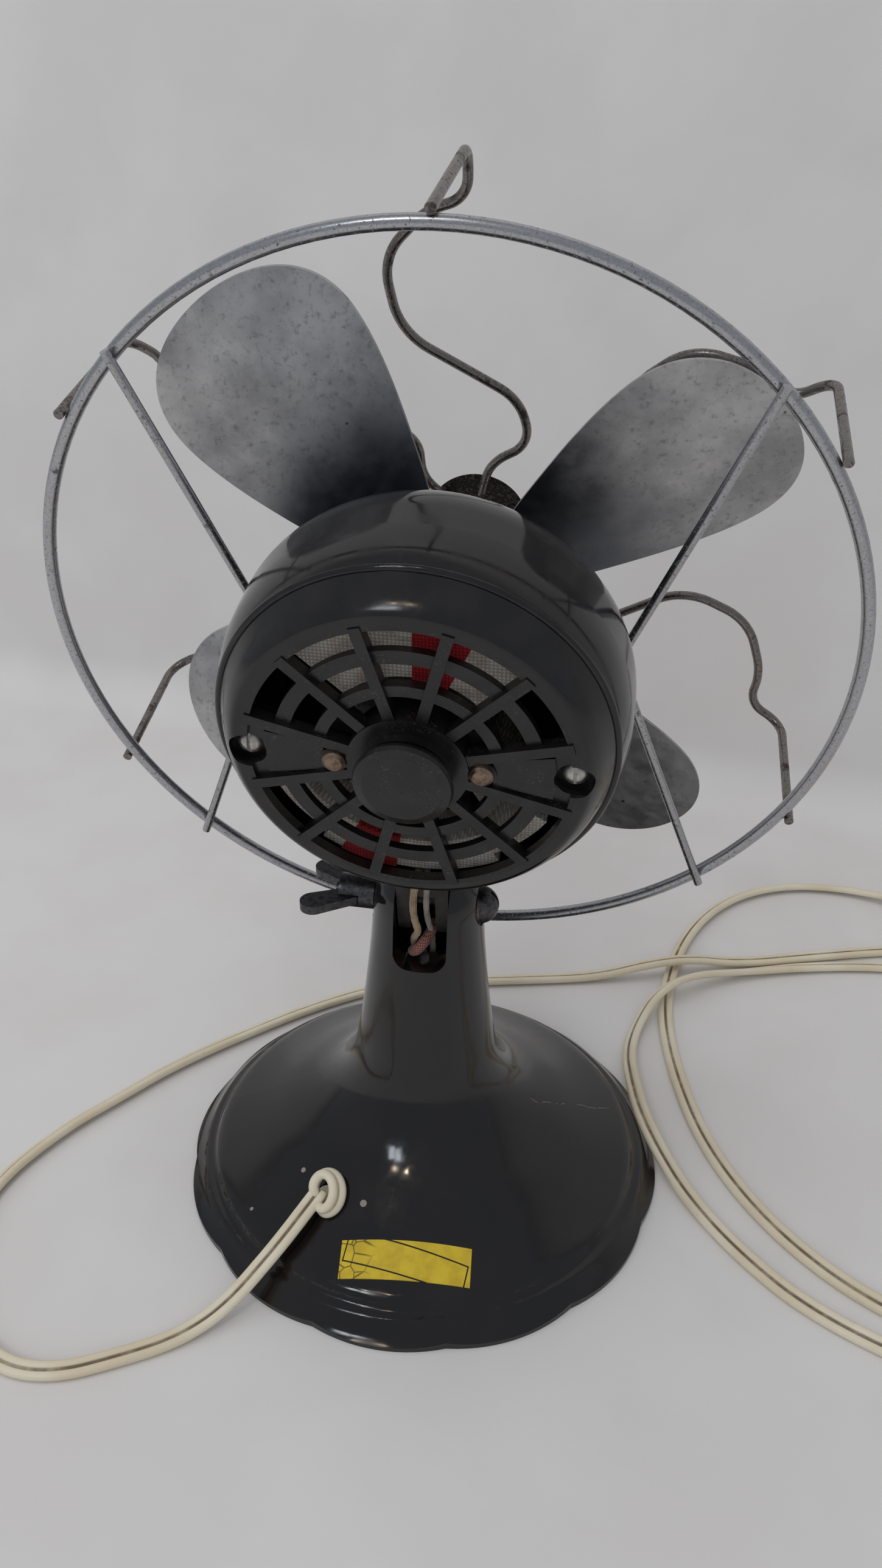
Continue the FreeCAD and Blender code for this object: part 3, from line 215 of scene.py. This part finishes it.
TWIST = [                   # (metres along the flex, degrees that it stands on edge)
    (0.0, 8), (0.05, 6), (0.14, 22), (0.24, 34), (0.36, 16), (0.48, 12), (0.58, 6), (0.68, 10), (0.82, 30),
    (0.96, 24), (1.06, 20), (1.14, 40), (1.20, 44), (1.26, 14), (1.32, 6), (1.42, 20), (1.54, 36),
    (1.64, 18), (1.72, 8), (1.82, 30), (2.1, 5)]


def turned_by(distance):
    """How far the flex stands on edge at a distance along it, in radians."""
    for (a, low), (b, high) in zip(TWIST, TWIST[1:]):
        if distance <= b:
            share = (distance - a) / (b - a)
            smooth = share * share * (3 - 2 * share)
            return math.radians(low + (high - low) * smooth)
    return math.radians(TWIST[-1][1])


def twin_outline(steps=9, join=math.radians(152)):
    """Cross-section of the twin flex, two cores that touch, as (across, up) and how deep in the groove."""
    made = []
    for side in (1, -1):
        for i in range(steps):
            angle = -join + 2 * join * i / (steps - 1)
            across = side * (CORE + CORE * math.cos(angle))
            made.append((across, side * CORE * math.sin(angle), 1.0 if i in (0, steps - 1) else 0.0))
    return made


def cord_rings():
    """Centres and rings of the flex along the route's smooth line, lowered to lie on the table."""
    line = respaced(nurbs_line([KNOT] + [Vector(p) for p in CORD_ROUTE], resolution=12), FLEX_STEP)
    outline = twin_outline()
    centres, rings, run = [], [], 0.0
    for i, (point, along) in enumerate(zip(line, tangents(line))):
        run += (point - line[i - 1]).length if i else 0.0
        angle = turned_by(run)
        flat = Vector((along.y, -along.x, 0)).normalized()
        up = flat.cross(along).normalized()
        across = flat * math.cos(angle) + up * math.sin(angle)
        up = across.cross(along).normalized()
        drop = ON_TABLE - CORE * (1 + abs(math.sin(angle))) - 0.0001
        near_table = max(0.0, 1 - max(0.0, point.z - ON_TABLE) / LIFTED)
        centre = point - Vector((0, 0, drop * near_table))
        centres.append(centre)
        rings.append([centre + across * a + up * u for a, u, _ in outline])
    return centres, rings


def make_cord(material):
    centres, rings = cord_rings()

    def build(bm):
        sweep(bm, rings)
        depth = bm.verts.layers.float.new("groove")
        groove = [g for _, _, g in twin_outline()]
        bm.verts.ensure_lookup_table()
        for i, vert in enumerate(bm.verts):
            vert[depth] = groove[i % len(groove)]
    cord = add_mesh("flex", build, material)
    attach(cord, "stand")
    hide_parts("power_cord")
    return cord, centres


def knot_axes():
    """Right, up and outward at the knot, as seen by someone behind the fan."""
    outward = (CORD_OUT.normalized() + (CAMERA_PLACE - KNOT).normalized()).normalized()
    right = Vector((-1, -0.17, 0)).cross(outward).cross(outward) * -1
    right.normalize()
    return right, outward.cross(right), outward


def make_knot(material):
    """The overhand knot: both cores go once round, one behind the other, and dive under the leaving end."""
    right, up, outward = knot_axes()
    middle = KNOT + right * 0.0012 - up * 0.0006
    turns = [(0.0037, 0.0057, 0.0019, 0.0), (0.0050, 0.0067, -0.0009, 0.0010)]

    def build(bm):
        for wide, tall, ahead, aside in turns:
            points = []
            for i in range(15):
                angle = math.radians(205 - 350 * i / 14)
                end = max(0.0, (1.5 - i) / 1.5, (i - 12.5) / 1.5)
                points.append(middle + right * (aside + wide * (1 - 0.35 * end) * math.cos(angle))
                              + up * tall * (1 - 0.35 * end) * math.sin(angle)
                              + outward * (ahead - 0.0030 * end))
            line = respaced(nurbs_line(points), FINE_STEP)
            rings = []
            for point, along in zip(line, tangents(line)):
                side = along.cross(outward).normalized()
                other = along.cross(side)
                rings.append(circle(point, side, other, CORE * KNOT_SWELL, 16))
            sweep(bm, rings)
    knot = add_mesh("flex_knot", build, material)
    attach(knot, "stand")
    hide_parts("cord_knot")
    return knot


# ---------------------------------------------------------------- material helpers
def shade(red, green, blue):
    """A colour given as it looks on a screen, 0 to 255, as the renderer's linear colour."""
    def linear(c):
        c = c / 255
        return c / 12.92 if c <= 0.04045 else ((c + 0.055) / 1.055) ** 2.4
    return (linear(red), linear(green), linear(blue), 1.0)


WANDER, WANDER_SCALE = 5.0, 0.12    # a hairline's drift in millimetres, and how quickly it changes


class Surface:
    """A Principled material, with short chains of nodes in the row's own coordinates, in millimetres."""

    def __init__(self, name, **values):
        self.material = bpy.data.materials.new(name)
        self.material.use_nodes = True
        self.tree = self.material.node_tree
        self.shader = self.tree.nodes["Principled BSDF"]
        for socket, value in values.items():
            self.shader.inputs[socket.replace("_", " ")].default_value = value
        place = self.tree.nodes.new("ShaderNodeTexCoord").outputs["Object"]
        scale = self.add("ShaderNodeVectorMath", [place, (1000, 1000, 1000)], operation="MULTIPLY")
        self.place = scale.outputs[0]

    def add(self, kind, inputs=(), **settings):
        node = self.tree.nodes.new(kind)
        for key, value in settings.items():
            setattr(node, key, value)
        pairs = inputs.items() if isinstance(inputs, dict) else enumerate(inputs)
        for key, value in pairs:
            if value is not None:
                self.feed(node.inputs[key], value)
        return node

    def feed(self, socket, value):
        if isinstance(value, bpy.types.NodeSocket):
            self.tree.links.new(value, socket)
        else:
            socket.default_value = value

    def set(self, **sockets):
        for name, value in sockets.items():
            self.feed(self.shader.inputs[name.replace("_", " ")], value)
        return self

    def stretched(self, scales, place=None, turn=(0, 0, 0)):
        """Coordinates turned by degrees and then stretched along X, Y and Z."""
        node = self.add("ShaderNodeMapping", {"Vector": place or self.place, "Scale": scales,
                                              "Rotation": tuple(math.radians(t) for t in turn)})
        return node.outputs[0]

    def noise(self, size, detail=3.0, rough=0.55, place=None):
        """Cloudy noise from 0 to 1 with features about size millimetres wide."""
        node = self.add("ShaderNodeTexNoise", {"Vector": place or self.place, "Scale": 1 / size,
                                               "Detail": detail, "Roughness": rough})
        return node.outputs[0]

    def cells(self, size, feature="F1", place=None, spread=1.0):
        node = self.add("ShaderNodeTexVoronoi", {"Vector": place or self.place, "Scale": 1 / size,
                                                 "Randomness": spread}, feature=feature)
        return node.outputs["Distance"]

    def band(self, value, low, high, start=0.0, end=1.0):
        """value from low to high becomes start to end, smoothly and clamped."""
        node = self.add("ShaderNodeMapRange", {"Value": value, "From Min": low, "From Max": high,
                                               "To Min": start, "To Max": end},
                        interpolation_type="SMOOTHSTEP")
        return node.outputs[0]

    def sum(self, operation, a, b, clamp=False):
        return self.add("ShaderNodeMath", [a, b], operation=operation, use_clamp=clamp).outputs[0]

    def mix(self, share, a, b):
        node = self.add("ShaderNodeMix", {0: share, 6: a, 7: b}, data_type="RGBA")
        return node.outputs[2]

    def near(self, point, radius, soft):
        """1 within radius millimetres of a point, falling to 0 over soft."""
        gap = self.add("ShaderNodeVectorMath", [self.place, point], operation="DISTANCE").outputs["Value"]
        return self.band(gap, radius, radius + soft, 1.0, 0.0)

    def from_line(self, point, direction, place=None):
        """Distance in millimetres from an endless line through a point."""
        gap = self.add("ShaderNodeVectorMath", [place or self.place, tuple(point)], operation="SUBTRACT")
        off = self.add("ShaderNodeVectorMath", [gap.outputs[0], tuple(direction.normalized())],
                       operation="CROSS_PRODUCT")
        return self.add("ShaderNodeVectorMath", [off.outputs[0]], operation="LENGTH").outputs["Value"]

    def from_axis(self):
        """Distance in millimetres from the motor's axis."""
        return self.from_line(MOTOR.translation * 1000, MOTOR.col[2].to_3d())

    def hairline(self, start, end, half=0.12):
        """1 on a slightly wandering line between two points, half millimetres to each side."""
        start, end = Vector(start), Vector(end)
        reach = Vector((WANDER, WANDER, WANDER))
        drift = self.add("ShaderNodeTexNoise", {"Vector": self.place, "Scale": WANDER_SCALE}).outputs["Color"]
        wander = self.add("ShaderNodeVectorMath", [drift, tuple(reach)], operation="MULTIPLY").outputs[0]
        moved = self.add("ShaderNodeVectorMath", [self.place, wander], operation="ADD").outputs[0]
        off = self.from_line(start + reach / 2, end - start, moved)
        middle = (start + end) / 2
        return self.sum("MULTIPLY", self.band(off, half, half * 2, 1.0, 0.0),
                        self.near(tuple(middle), (end - start).length / 2, 0.5))

    def bump(self, height, depth, strength=1.0, under=None):
        """Bumps depth millimetres high where height is 1."""
        node = self.add("ShaderNodeBump", {"Height": height, "Distance": depth / 1000,
                                           "Strength": strength, "Normal": under})
        return node.outputs[0]


# ---------------------------------------------------------------- materials
CHIPS = [((35.5, 39.5, 23.5), 0.75), ((11.8, 50.5, 24.2), 1.0), ((51.1, 50.7, 13.6), 0.5),
         ((-20.0, 66.0, 14.5), 0.4), ((29.5, 52.0, 18.6), 0.3)]
CRACK = ((-38.1, 1.5, 33.5), (-73.5, -24.1, 8.8))   # hairline down the dome, millimetres


def bakelite(name="bakelite_gloss", chipped=False):
    """Old polished moulding: nearly black, wavy in its reflections, with faint smears and fine dust."""
    s = Surface(name, IOR=1.56)
    cloud = s.noise(24, 4)
    colour = s.mix(s.band(cloud, 0.35, 0.7), shade(14, 12, 13), shade(23, 18, 17))
    dust = s.band(s.noise(0.5, 2), 0.66, 0.8, 0.0, 0.35)
    dust = s.sum("MULTIPLY", dust, s.band(s.noise(15, 3), 0.45, 0.75))
    colour = s.mix(dust, colour, shade(120, 115, 108))
    smear = s.band(s.noise(11, 5, 0.65), 0.4, 0.72, 0.085, 0.2)
    streak = s.noise(1.4, 4, 0.6, s.stretched((1.0, 0.07, 0.35), turn=(12, 0, 24)))
    rough = s.sum("ADD", smear, s.band(streak, 0.6, 0.75, 0.0, 0.1))
    wave = s.bump(s.noise(14, 2, 0.4), 0.09, 0.35)
    peel = s.bump(s.noise(1.6, 3), 0.012, 0.25, wave)
    for place, radius in CHIPS if chipped else ():
        chip = s.near(place, radius, 0.25)
        colour = s.mix(chip, colour, shade(150, 142, 138))
        rough = s.sum("MAXIMUM", rough, s.sum("MULTIPLY", chip, 0.7))
    if chipped:
        colour = s.mix(s.hairline(*CRACK), colour, shade(112, 100, 92))
    return s.set(Base_Color=colour, Roughness=rough, Normal=peel).material


GRILLE_RADIUS = 48.0        # the cover is dull and dusty inside this, and polished outside it


def cover_moulding():
    """The cover: a polished rim and cone, and a duller grille with dust in its corners."""
    s = Surface("bakelite_cover", IOR=1.54)
    grille = s.band(s.from_axis(), GRILLE_RADIUS - 1.5, GRILLE_RADIUS, 1.0, 0.0)
    cloud = s.band(s.noise(9, 4), 0.35, 0.7)
    colour = s.mix(cloud, shade(16, 14, 15), shade(28, 25, 25))
    grit = s.band(s.noise(0.7, 3), 0.56, 0.74, 0.0, 0.5)
    grit = s.sum("MULTIPLY", grit, s.band(s.noise(6, 3), 0.4, 0.65))
    colour = s.mix(s.sum("MULTIPLY", grit, grille), colour, shade(104, 98, 94))
    rough = s.sum("ADD", s.band(s.noise(5, 4), 0.3, 0.75, 0.1, 0.22), s.sum("MULTIPLY", grille, 0.2))
    return s.set(Base_Color=colour, Roughness=rough, Normal=s.bump(s.noise(0.9, 4), 0.03, 0.3)).material


def tarnished_steel(name, bright, dark, pitted):
    """Plated wire with dark pitting; pitted from 0 to 1 is how much of it has gone."""
    s = Surface(name, Metallic=1.0)
    patches = s.band(s.noise(7, 5, 0.7), 0.62 - 0.22 * pitted, 0.74 - 0.14 * pitted)
    pits = s.band(s.noise(0.9, 4, 0.7), 0.60 - 0.12 * pitted, 0.70 - 0.06 * pitted)
    worn = s.sum("MAXIMUM", s.sum("MULTIPLY", patches, 0.85), s.sum("MULTIPLY", pits, 0.7 + 0.3 * pitted))
    drawn = s.band(s.noise(0.6, 3, 0.5), 0.3, 0.7)
    colour = s.mix(drawn, tuple(c * 0.8 for c in bright[:3]) + (1.0,), bright)
    colour = s.mix(worn, colour, dark)
    rough = s.band(worn, 0.0, 1.0, 0.27, 0.62)
    return s.set(Base_Color=colour, Roughness=rough, Normal=s.bump(pits, -0.12, 0.8)).material


def blade_sheet():
    """Pressed sheet, satin, clouded with old polish and spotted, with a painted dark bluish reflection
    towards the hub.
    """
    s = Surface("blade_sheet", Metallic=1.0)
    cloud = s.band(s.noise(26, 6, 0.62), 0.32, 0.68)
    colour = s.mix(cloud, shade(158, 158, 160), shade(196, 196, 196))
    # painted reflection: darker and bluer towards the hub, where the sheet mirrors the dark motor head
    painted_hub_reflection = s.band(s.from_axis(), 48, 84, 0.8, 0.0)
    colour = s.mix(painted_hub_reflection, colour, shade(74, 80, 92))
    mottle = s.band(s.noise(2.2, 5, 0.7), 0.5, 0.72, 0.0, 0.6)
    colour = s.mix(mottle, colour, shade(118, 116, 116))
    spots = s.band(s.cells(9.0), 0.04, 0.10, 1.0, 0.0)
    spots = s.sum("MULTIPLY", spots, s.band(s.noise(14, 2), 0.5, 0.58))
    colour = s.mix(spots, colour, shade(40, 36, 34))
    scratch = s.noise(0.7, 3, 0.6, s.stretched((1.0, 1.0, 0.03), turn=(20, 35, 0)))
    scratch = s.band(scratch, 0.66, 0.74, 0.0, 1.0)
    rough = s.sum("ADD", s.band(s.noise(8, 5, 0.65), 0.3, 0.75, 0.33, 0.5), s.sum("MULTIPLY", spots, 0.3))
    rough = s.sum("ADD", rough, s.sum("MULTIPLY", scratch, -0.1))
    bump = s.bump(s.noise(30, 2), 0.4, 0.25)
    bump = s.bump(scratch, -0.01, 0.4, bump)
    return s.set(Base_Color=colour, Roughness=rough, Normal=s.bump(mottle, -0.01, 0.5, bump)).material


def plain_metal(name, colour, rough, grime=0.5):
    """Turned or cast metal with dirt in its surface."""
    s = Surface(name, Metallic=1.0)
    darkening = s.band(s.noise(1.6, 4, 0.65), 0.45, 0.68, 0.0, grime)
    mixed = s.mix(darkening, shade(*colour), shade(*[c * 0.3 for c in colour]))
    roughness = s.band(s.noise(2.5, 4), 0.3, 0.7, rough, rough + 0.22)
    return s.set(Base_Color=mixed, Roughness=roughness, Normal=s.bump(s.noise(0.7, 4), 0.03, 0.4)).material


def plain_paint(name, colour, rough, lighter=1.5):
    """Paint, plastic or enamel with slight unevenness."""
    s = Surface(name)
    mixed = s.mix(s.band(s.noise(5, 4), 0.35, 0.7), shade(*colour), shade(*[c * lighter for c in colour]))
    roughness = s.band(s.noise(3, 4), 0.3, 0.7, rough, rough + 0.2)
    return s.set(Base_Color=mixed, Roughness=roughness, Normal=s.bump(s.noise(1.2, 3), 0.02, 0.4)).material


def woven(name, colour, thread, stain, weave=0.8, stained=0.5):
    """Cotton tape or sleeve: crossed threads, fuzz and brown stains."""
    s = Surface(name, Roughness=0.92, Sheen_Weight=0.25, Sheen_Roughness=0.5)
    along = s.add("ShaderNodeTexWave", {"Vector": s.place, "Scale": 0.32 / weave, "Distortion": 1.2,
                                        "Detail": 2.0}, bands_direction="X").outputs["Fac"]
    across = s.add("ShaderNodeTexWave", {"Vector": s.place, "Scale": 0.32 / weave, "Distortion": 1.0,
                                         "Detail": 2.0}, bands_direction="Z").outputs["Fac"]
    threads = s.sum("MULTIPLY", along, across)
    mixed = s.mix(s.band(threads, 0.0, 0.6), shade(*thread), shade(*colour))
    mixed = s.mix(s.band(s.noise(5.5, 4, 0.6), 0.46, 0.66, 0.0, stained), mixed, shade(*stain))
    return s.set(Base_Color=mixed, Normal=s.bump(threads, 0.25, 0.7)).material


def flex_plastic():
    """Cream flex, darker and browner in the groove between the cores, with faint handling marks."""
    s = Surface("cream_flex", Subsurface_Weight=0.12, Subsurface_Scale=0.002, IOR=1.5)
    cloud = s.band(s.noise(30, 4), 0.35, 0.68)
    colour = s.mix(cloud, shade(226, 212, 184), shade(236, 226, 203))
    groove = s.add("ShaderNodeAttribute", attribute_name="groove").outputs["Fac"]
    patchy = s.band(s.noise(9, 5, 0.7), 0.3, 0.62, 0.6, 1.0)
    # darker, browner and patchy in the groove between the cores
    darkening = s.sum("MULTIPLY", s.band(groove, 0.15, 0.85), patchy)
    colour = s.mix(s.sum("MULTIPLY", darkening, 0.9), colour, shade(96, 76, 50))
    smudge = s.band(s.noise(3.0, 5, 0.7), 0.6, 0.76, 0.0, 0.35)
    colour = s.mix(smudge, colour, shade(176, 150, 112))
    rough = s.band(s.noise(4, 4), 0.3, 0.7, 0.3, 0.46)
    return s.set(Base_Color=colour, Roughness=rough, Normal=s.bump(s.noise(2.2, 3), 0.03, 0.4)).material


def make_materials():
    return {
        "bakelite": bakelite("bakelite_head"),
        "bakelite_base": bakelite("bakelite_base", chipped=True),
        "cover": cover_moulding(),
        "ring": tarnished_steel("ring_steel", shade(192, 192, 195), shade(84, 80, 76), 0.06),
        "wire": tarnished_steel("wire_steel", shade(140, 134, 130), shade(60, 52, 48), 0.35),
        "stay": tarnished_steel("stay_steel", shade(184, 184, 186), shade(78, 74, 70), 0.12),
        "blade": blade_sheet(),
        "hub": plain_metal("hub_metal", (96, 94, 94), 0.4),
        "screw": plain_metal("screw_steel", (108, 101, 94), 0.32, 0.7),
        "nut": plain_metal("nut_steel", (92, 90, 92), 0.3, 0.6),
        "rivet": plain_metal("rivet_metal", (150, 128, 112), 0.36, 0.5),
        "cover_screw": plain_metal("cover_screw_steel", (196, 192, 186), 0.28, 0.4),
        "brass": plain_metal("brass", (176, 142, 84), 0.28, 0.35),
        "core": plain_metal("core_steel", (70, 62, 58), 0.5, 0.8),
        "alloy": plain_metal("cast_alloy", (150, 150, 150), 0.4, 0.4),
        "enamel": plain_paint("black_enamel", (34, 31, 30), 0.3),
        "sheet": plain_paint("painted_sheet", (30, 30, 31), 0.45),
        "fibre": plain_paint("fibre", (112, 62, 40), 0.6, 1.2),
        "ceramic": plain_paint("ceramic", (206, 200, 188), 0.5, 1.08),
        "plug": plain_paint("plug_plastic", (222, 212, 190), 0.28, 1.05),
        "felt": woven("felt", (66, 80, 66), (42, 52, 42), (40, 46, 40), 0.5, 0.2),
        "coil": woven("coil_tape", (244, 240, 232), (196, 186, 170), (134, 98, 62), 1.1, 0.35),
        "sleeve": woven("red_sleeve", (214, 22, 36), (140, 12, 20), (110, 12, 16), 1.0, 0.25),
        "flex": flex_plastic(),
        "lead_cream": woven("lead_cream", (206, 184, 150), (150, 126, 94), (110, 78, 50), 0.6, 0.5),
        "lead_pale": woven("lead_pale", (190, 182, 170), (140, 130, 118), (90, 70, 54), 0.6, 0.4),
        "lead_red": woven("lead_red", (120, 40, 36), (150, 110, 96), (50, 26, 22), 0.7, 0.6),
    }


# ---------------------------------------------------------------- label
LABEL_MIDDLE = Vector((-5.3, 64.8, 0))      # millimetres, from above
LABEL_HALF = (21.4, 5.5)
LABEL_TURN = 5.5


def label_paper():
    """Yellowed paper with a thin printed frame, creased towards one end, and no lettering."""
    s = Surface("label_paper", Roughness=0.5)
    turn = (0, 0, math.radians(-LABEL_TURN))
    where = {"Vector": s.place, "Location": tuple(LABEL_MIDDLE), "Rotation": turn}
    placed = s.add("ShaderNodeMapping", where, vector_type="TEXTURE")
    split = s.add("ShaderNodeSeparateXYZ", [placed.outputs[0]])
    across, along = split.outputs[0], split.outputs[1]
    to_side = s.sum("SUBTRACT", LABEL_HALF[0], s.sum("ABSOLUTE", across, None))
    to_end = s.sum("SUBTRACT", LABEL_HALF[1], s.sum("ABSOLUTE", along, None))
    inset = s.sum("MINIMUM", to_side, to_end)
    frame_line = s.sum("MULTIPLY", s.band(inset, 1.0, 1.15), s.band(inset, 1.45, 1.6, 1.0, 0.0))
    colour = s.mix(s.band(s.noise(6, 4), 0.35, 0.7), shade(226, 196, 48), shade(204, 172, 40))
    colour = s.mix(s.band(s.noise(0.8, 3), 0.6, 0.75, 0.0, 0.3), colour, shade(150, 120, 40))
    colour = s.mix(frame_line, colour, shade(24, 20, 18))
    crease = s.band(s.cells(6, "DISTANCE_TO_EDGE"), 0.0, 0.05, 0.85, 0.0)
    crease = s.sum("MULTIPLY", crease, s.band(across, 9, 14))
    colour = s.mix(crease, colour, shade(40, 30, 22))
    return s.set(Base_Color=colour).material


# ---------------------------------------------------------------- leads in the neck
def lead_tube(name, points, radius, material, lumps=0.0):
    """A cloth-covered lead along a smooth line, a little uneven in thickness."""
    line = respaced(nurbs_line([Vector(p) for p in points]), FINE_STEP)

    def build(bm):
        rings = []
        for i, (point, along) in enumerate(zip(line, tangents(line))):
            side = along.cross(Vector((0.9, 0.3, 0.1))).normalized()
            other = along.cross(side)
            size = radius * (1 + lumps * math.sin(i * 0.9) * math.sin(i * 0.37))
            rings.append(circle(point, side, other, size, 14))
        sweep(bm, rings)
    return add_mesh(name, build, material)


def make_leads(paint):
    """Leads that leave the motor through the neck and go down behind the bolt into the column."""
    routes = {
        "lead_cream": ([(0.0004, 0.0166, 0.137), (0.0024, 0.0148, 0.128), (0.0029, 0.0132, 0.1205),
                        (0.0026, 0.0124, 0.1150), (0.0010, 0.0118, 0.1098), (0.0030, 0.0098, 0.1062),
                        (0.0036, 0.006, 0.1), (0.0026, 0.003, 0.09)], 0.0012, paint["lead_cream"]),
        "lead_pale": ([(-0.0022, 0.0160, 0.137), (-0.0016, 0.0138, 0.127), (-0.0010, 0.0108, 0.119),
                       (-0.0012, 0.0082, 0.112), (-0.0028, 0.0060, 0.1045), (-0.0022, 0.0026, 0.094)],
                      0.0010, paint["lead_pale"]),
        "lead_red": ([(-0.0030, 0.0020, 0.1072), (-0.0020, 0.0070, 0.1064), (-0.0002, 0.0112, 0.1044),
                      (0.0020, 0.0126, 0.1022), (0.0036, 0.0096, 0.1004), (0.0010, 0.0040, 0.0950)],
                     0.0018, paint["lead_red"]),
    }
    for name, (points, radius, material) in routes.items():
        lead = lead_tube(name, points, radius, material, 0.06)
        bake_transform(lead)
        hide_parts("head_leads", "stand_leads")


# ---------------------------------------------------------------- dressing the CAD nodes
DRESS = {
    "bakelite": ["motor_housing"],
    "bakelite_base": ["base_column"],
    "cover": ["rear_cover", "bearing_cap"],
    "ring": ["guard_ring"],
    "wire": ["guard_hub_disc"] + ["guard_wire_%d" % (i + 1) for i in range(6)],
    "stay": ["guard_lugs"] + ["guard_stay_%d" % (i + 1) for i in range(4)],
    "blade": ["blade_%d" % (i + 1) for i in range(4)],
    "hub": ["fan_hub"],
    "cover_screw": ["cover_screws"],
    "screw": ["guard_lug_screws", "blade_rivets", "hub_screw", "base_plate_screws",
              "neck_screw", "motor_shaft", "tilt_washer"],
    "nut": ["wing_nut", "tilt_bolt"],
    "rivet": ["cover_rivets"],
    "brass": ["terminal_screws", "plug_pins", "rear_bearing", "front_bearing"],
    "core": ["stator_core", "rotor_core"],
    "alloy": ["rotor_end_rings"],
    "enamel": ["neck"],
    "sheet": ["base_plate", "bearing_carrier"],
    "fibre": ["thrust_washers"],
    "ceramic": ["terminal_block"],
    "plug": ["plug_body"],
    "felt": ["felt_pad", "oil_felts"],
    "coil": ["field_coil_top", "field_coil_bottom"],
    "sleeve": ["coil_sleeve_top", "coil_sleeve_bottom"],
    "flex": ["cord_tail"],
    "label": ["label"],
}


def dress(paint):
    for key, names in DRESS.items():
        for name in names:
            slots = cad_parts[name].material_slots
            for slot in slots:
                slot.link = "OBJECT"
                slot.material = paint[key]


# ---------------------------------------------------------------- floor, wall and light
WALL_FOOT = Vector((0.057, -0.32, 0))       # a point where the table meets the wall
WALL_ALONG = Vector((-0.56, 0.066, 0)).normalized()
WALL_HEIGHT, TABLE_REACH, STAGE_HALF = 2.6, 2.2, 3.0
STAGE_BEND, BEND_STEPS = 0.03, 8            # radius where the table turns up into the wall


def make_stage():
    """A pale table that turns up into a pale wall."""
    s = Surface("stage_pale", Roughness=0.6)
    s.set(Base_Color=s.mix(s.band(s.noise(90, 3), 0.35, 0.65), shade(226, 222, 219), shade(231, 228, 226)))
    away = Vector((WALL_ALONG.y, -WALL_ALONG.x, 0))
    if away.y > 0:
        away = -away
    profile = [(away * -TABLE_REACH, 0.0), (away * -STAGE_BEND, 0.0)]
    for i in range(1, BEND_STEPS + 1):
        t = math.pi / 2 * i / BEND_STEPS
        profile.append((away * STAGE_BEND * (math.sin(t) - 1), STAGE_BEND * (1 - math.cos(t))))
    profile.append((Vector(), WALL_HEIGHT))

    def build(bm):
        rows = []
        for reach in (-STAGE_HALF, STAGE_HALF):
            rows.append([bm.verts.new(WALL_FOOT + WALL_ALONG * reach + step + Vector((0, 0, z)))
                         for step, z in profile])
        for i in range(len(profile) - 1):
            bm.faces.new((rows[0][i], rows[0][i + 1], rows[1][i + 1], rows[1][i]))
        bm.normal_update()
    add_mesh("stage", build, s.material)


def add_light(name, place, target, size, power, colour=(1, 1, 1), mirrored=False):
    data = bpy.data.lights.new(name, "AREA")
    data.shape = "RECTANGLE"
    data.size, data.size_y = size
    data.energy = power
    data.color = colour
    light = bpy.data.objects.new(name, data)
    bpy.context.scene.collection.objects.link(light)
    light.location = place
    light.rotation_mode = "QUATERNION"
    light.rotation_quaternion = (Vector(target) - Vector(place)).to_track_quat("-Z", "Y")
    light.visible_glossy = mirrored


WINDOW = Vector((0.61, 1.41, 1.64))         # middle of the window that the moulding mirrors
CEILING = Vector((0.33, 1.02, 1.70))        # of the two warm lamps


def make_lights():
    """A dim room with a window and two warm lamps that gloss mirrors, and soft light that it doesn't."""
    world = bpy.data.worlds.new("room")
    world.use_nodes = True
    background = world.node_tree.nodes["Background"]
    background.inputs["Color"].default_value = (0.62, 0.66, 0.72, 1)
    background.inputs["Strength"].default_value = 0.5
    bpy.context.scene.world = world
    bpy.context.scene.view_settings.view_transform = "Standard"
    middle = (0, -0.1, 0.12)
    add_light("overhead", (0.2, 0.0, 1.6), middle, (1.3, 1.1), 5.5, (1.0, 0.99, 0.97))
    add_light("left", (1.4, 0.5, 1.0), middle, (1.0, 1.0), 3.0, (0.93, 0.97, 1.0))
    add_light("behind", (-0.3, 1.6, 1.2), middle, (1.4, 1.0), 3.5, (0.96, 0.98, 1.0))
    for side in (-1, 1):
        pane = WINDOW + Vector((0.1 * side, 0, 0))
        add_light("window_%d" % (2 + side), pane, middle, (0.15, 0.36), 1.6, (0.84, 0.92, 1.0), True)
        lamp = CEILING + Vector((0.12 * side, 0, 0))
        add_light("lamp_%d" % (2 + side), lamp, middle, (0.05, 0.05), 0.5, (1.0, 0.82, 0.62), True)


# ---------------------------------------------------------------- the whole scene
def main():
    paint = make_materials()
    paint["label"] = label_paper()
    dress(paint)
    cord, centres = make_cord(paint["flex"])
    knot = make_knot(paint["flex"])
    make_leads(paint)
    make_stage()
    make_lights()


main()
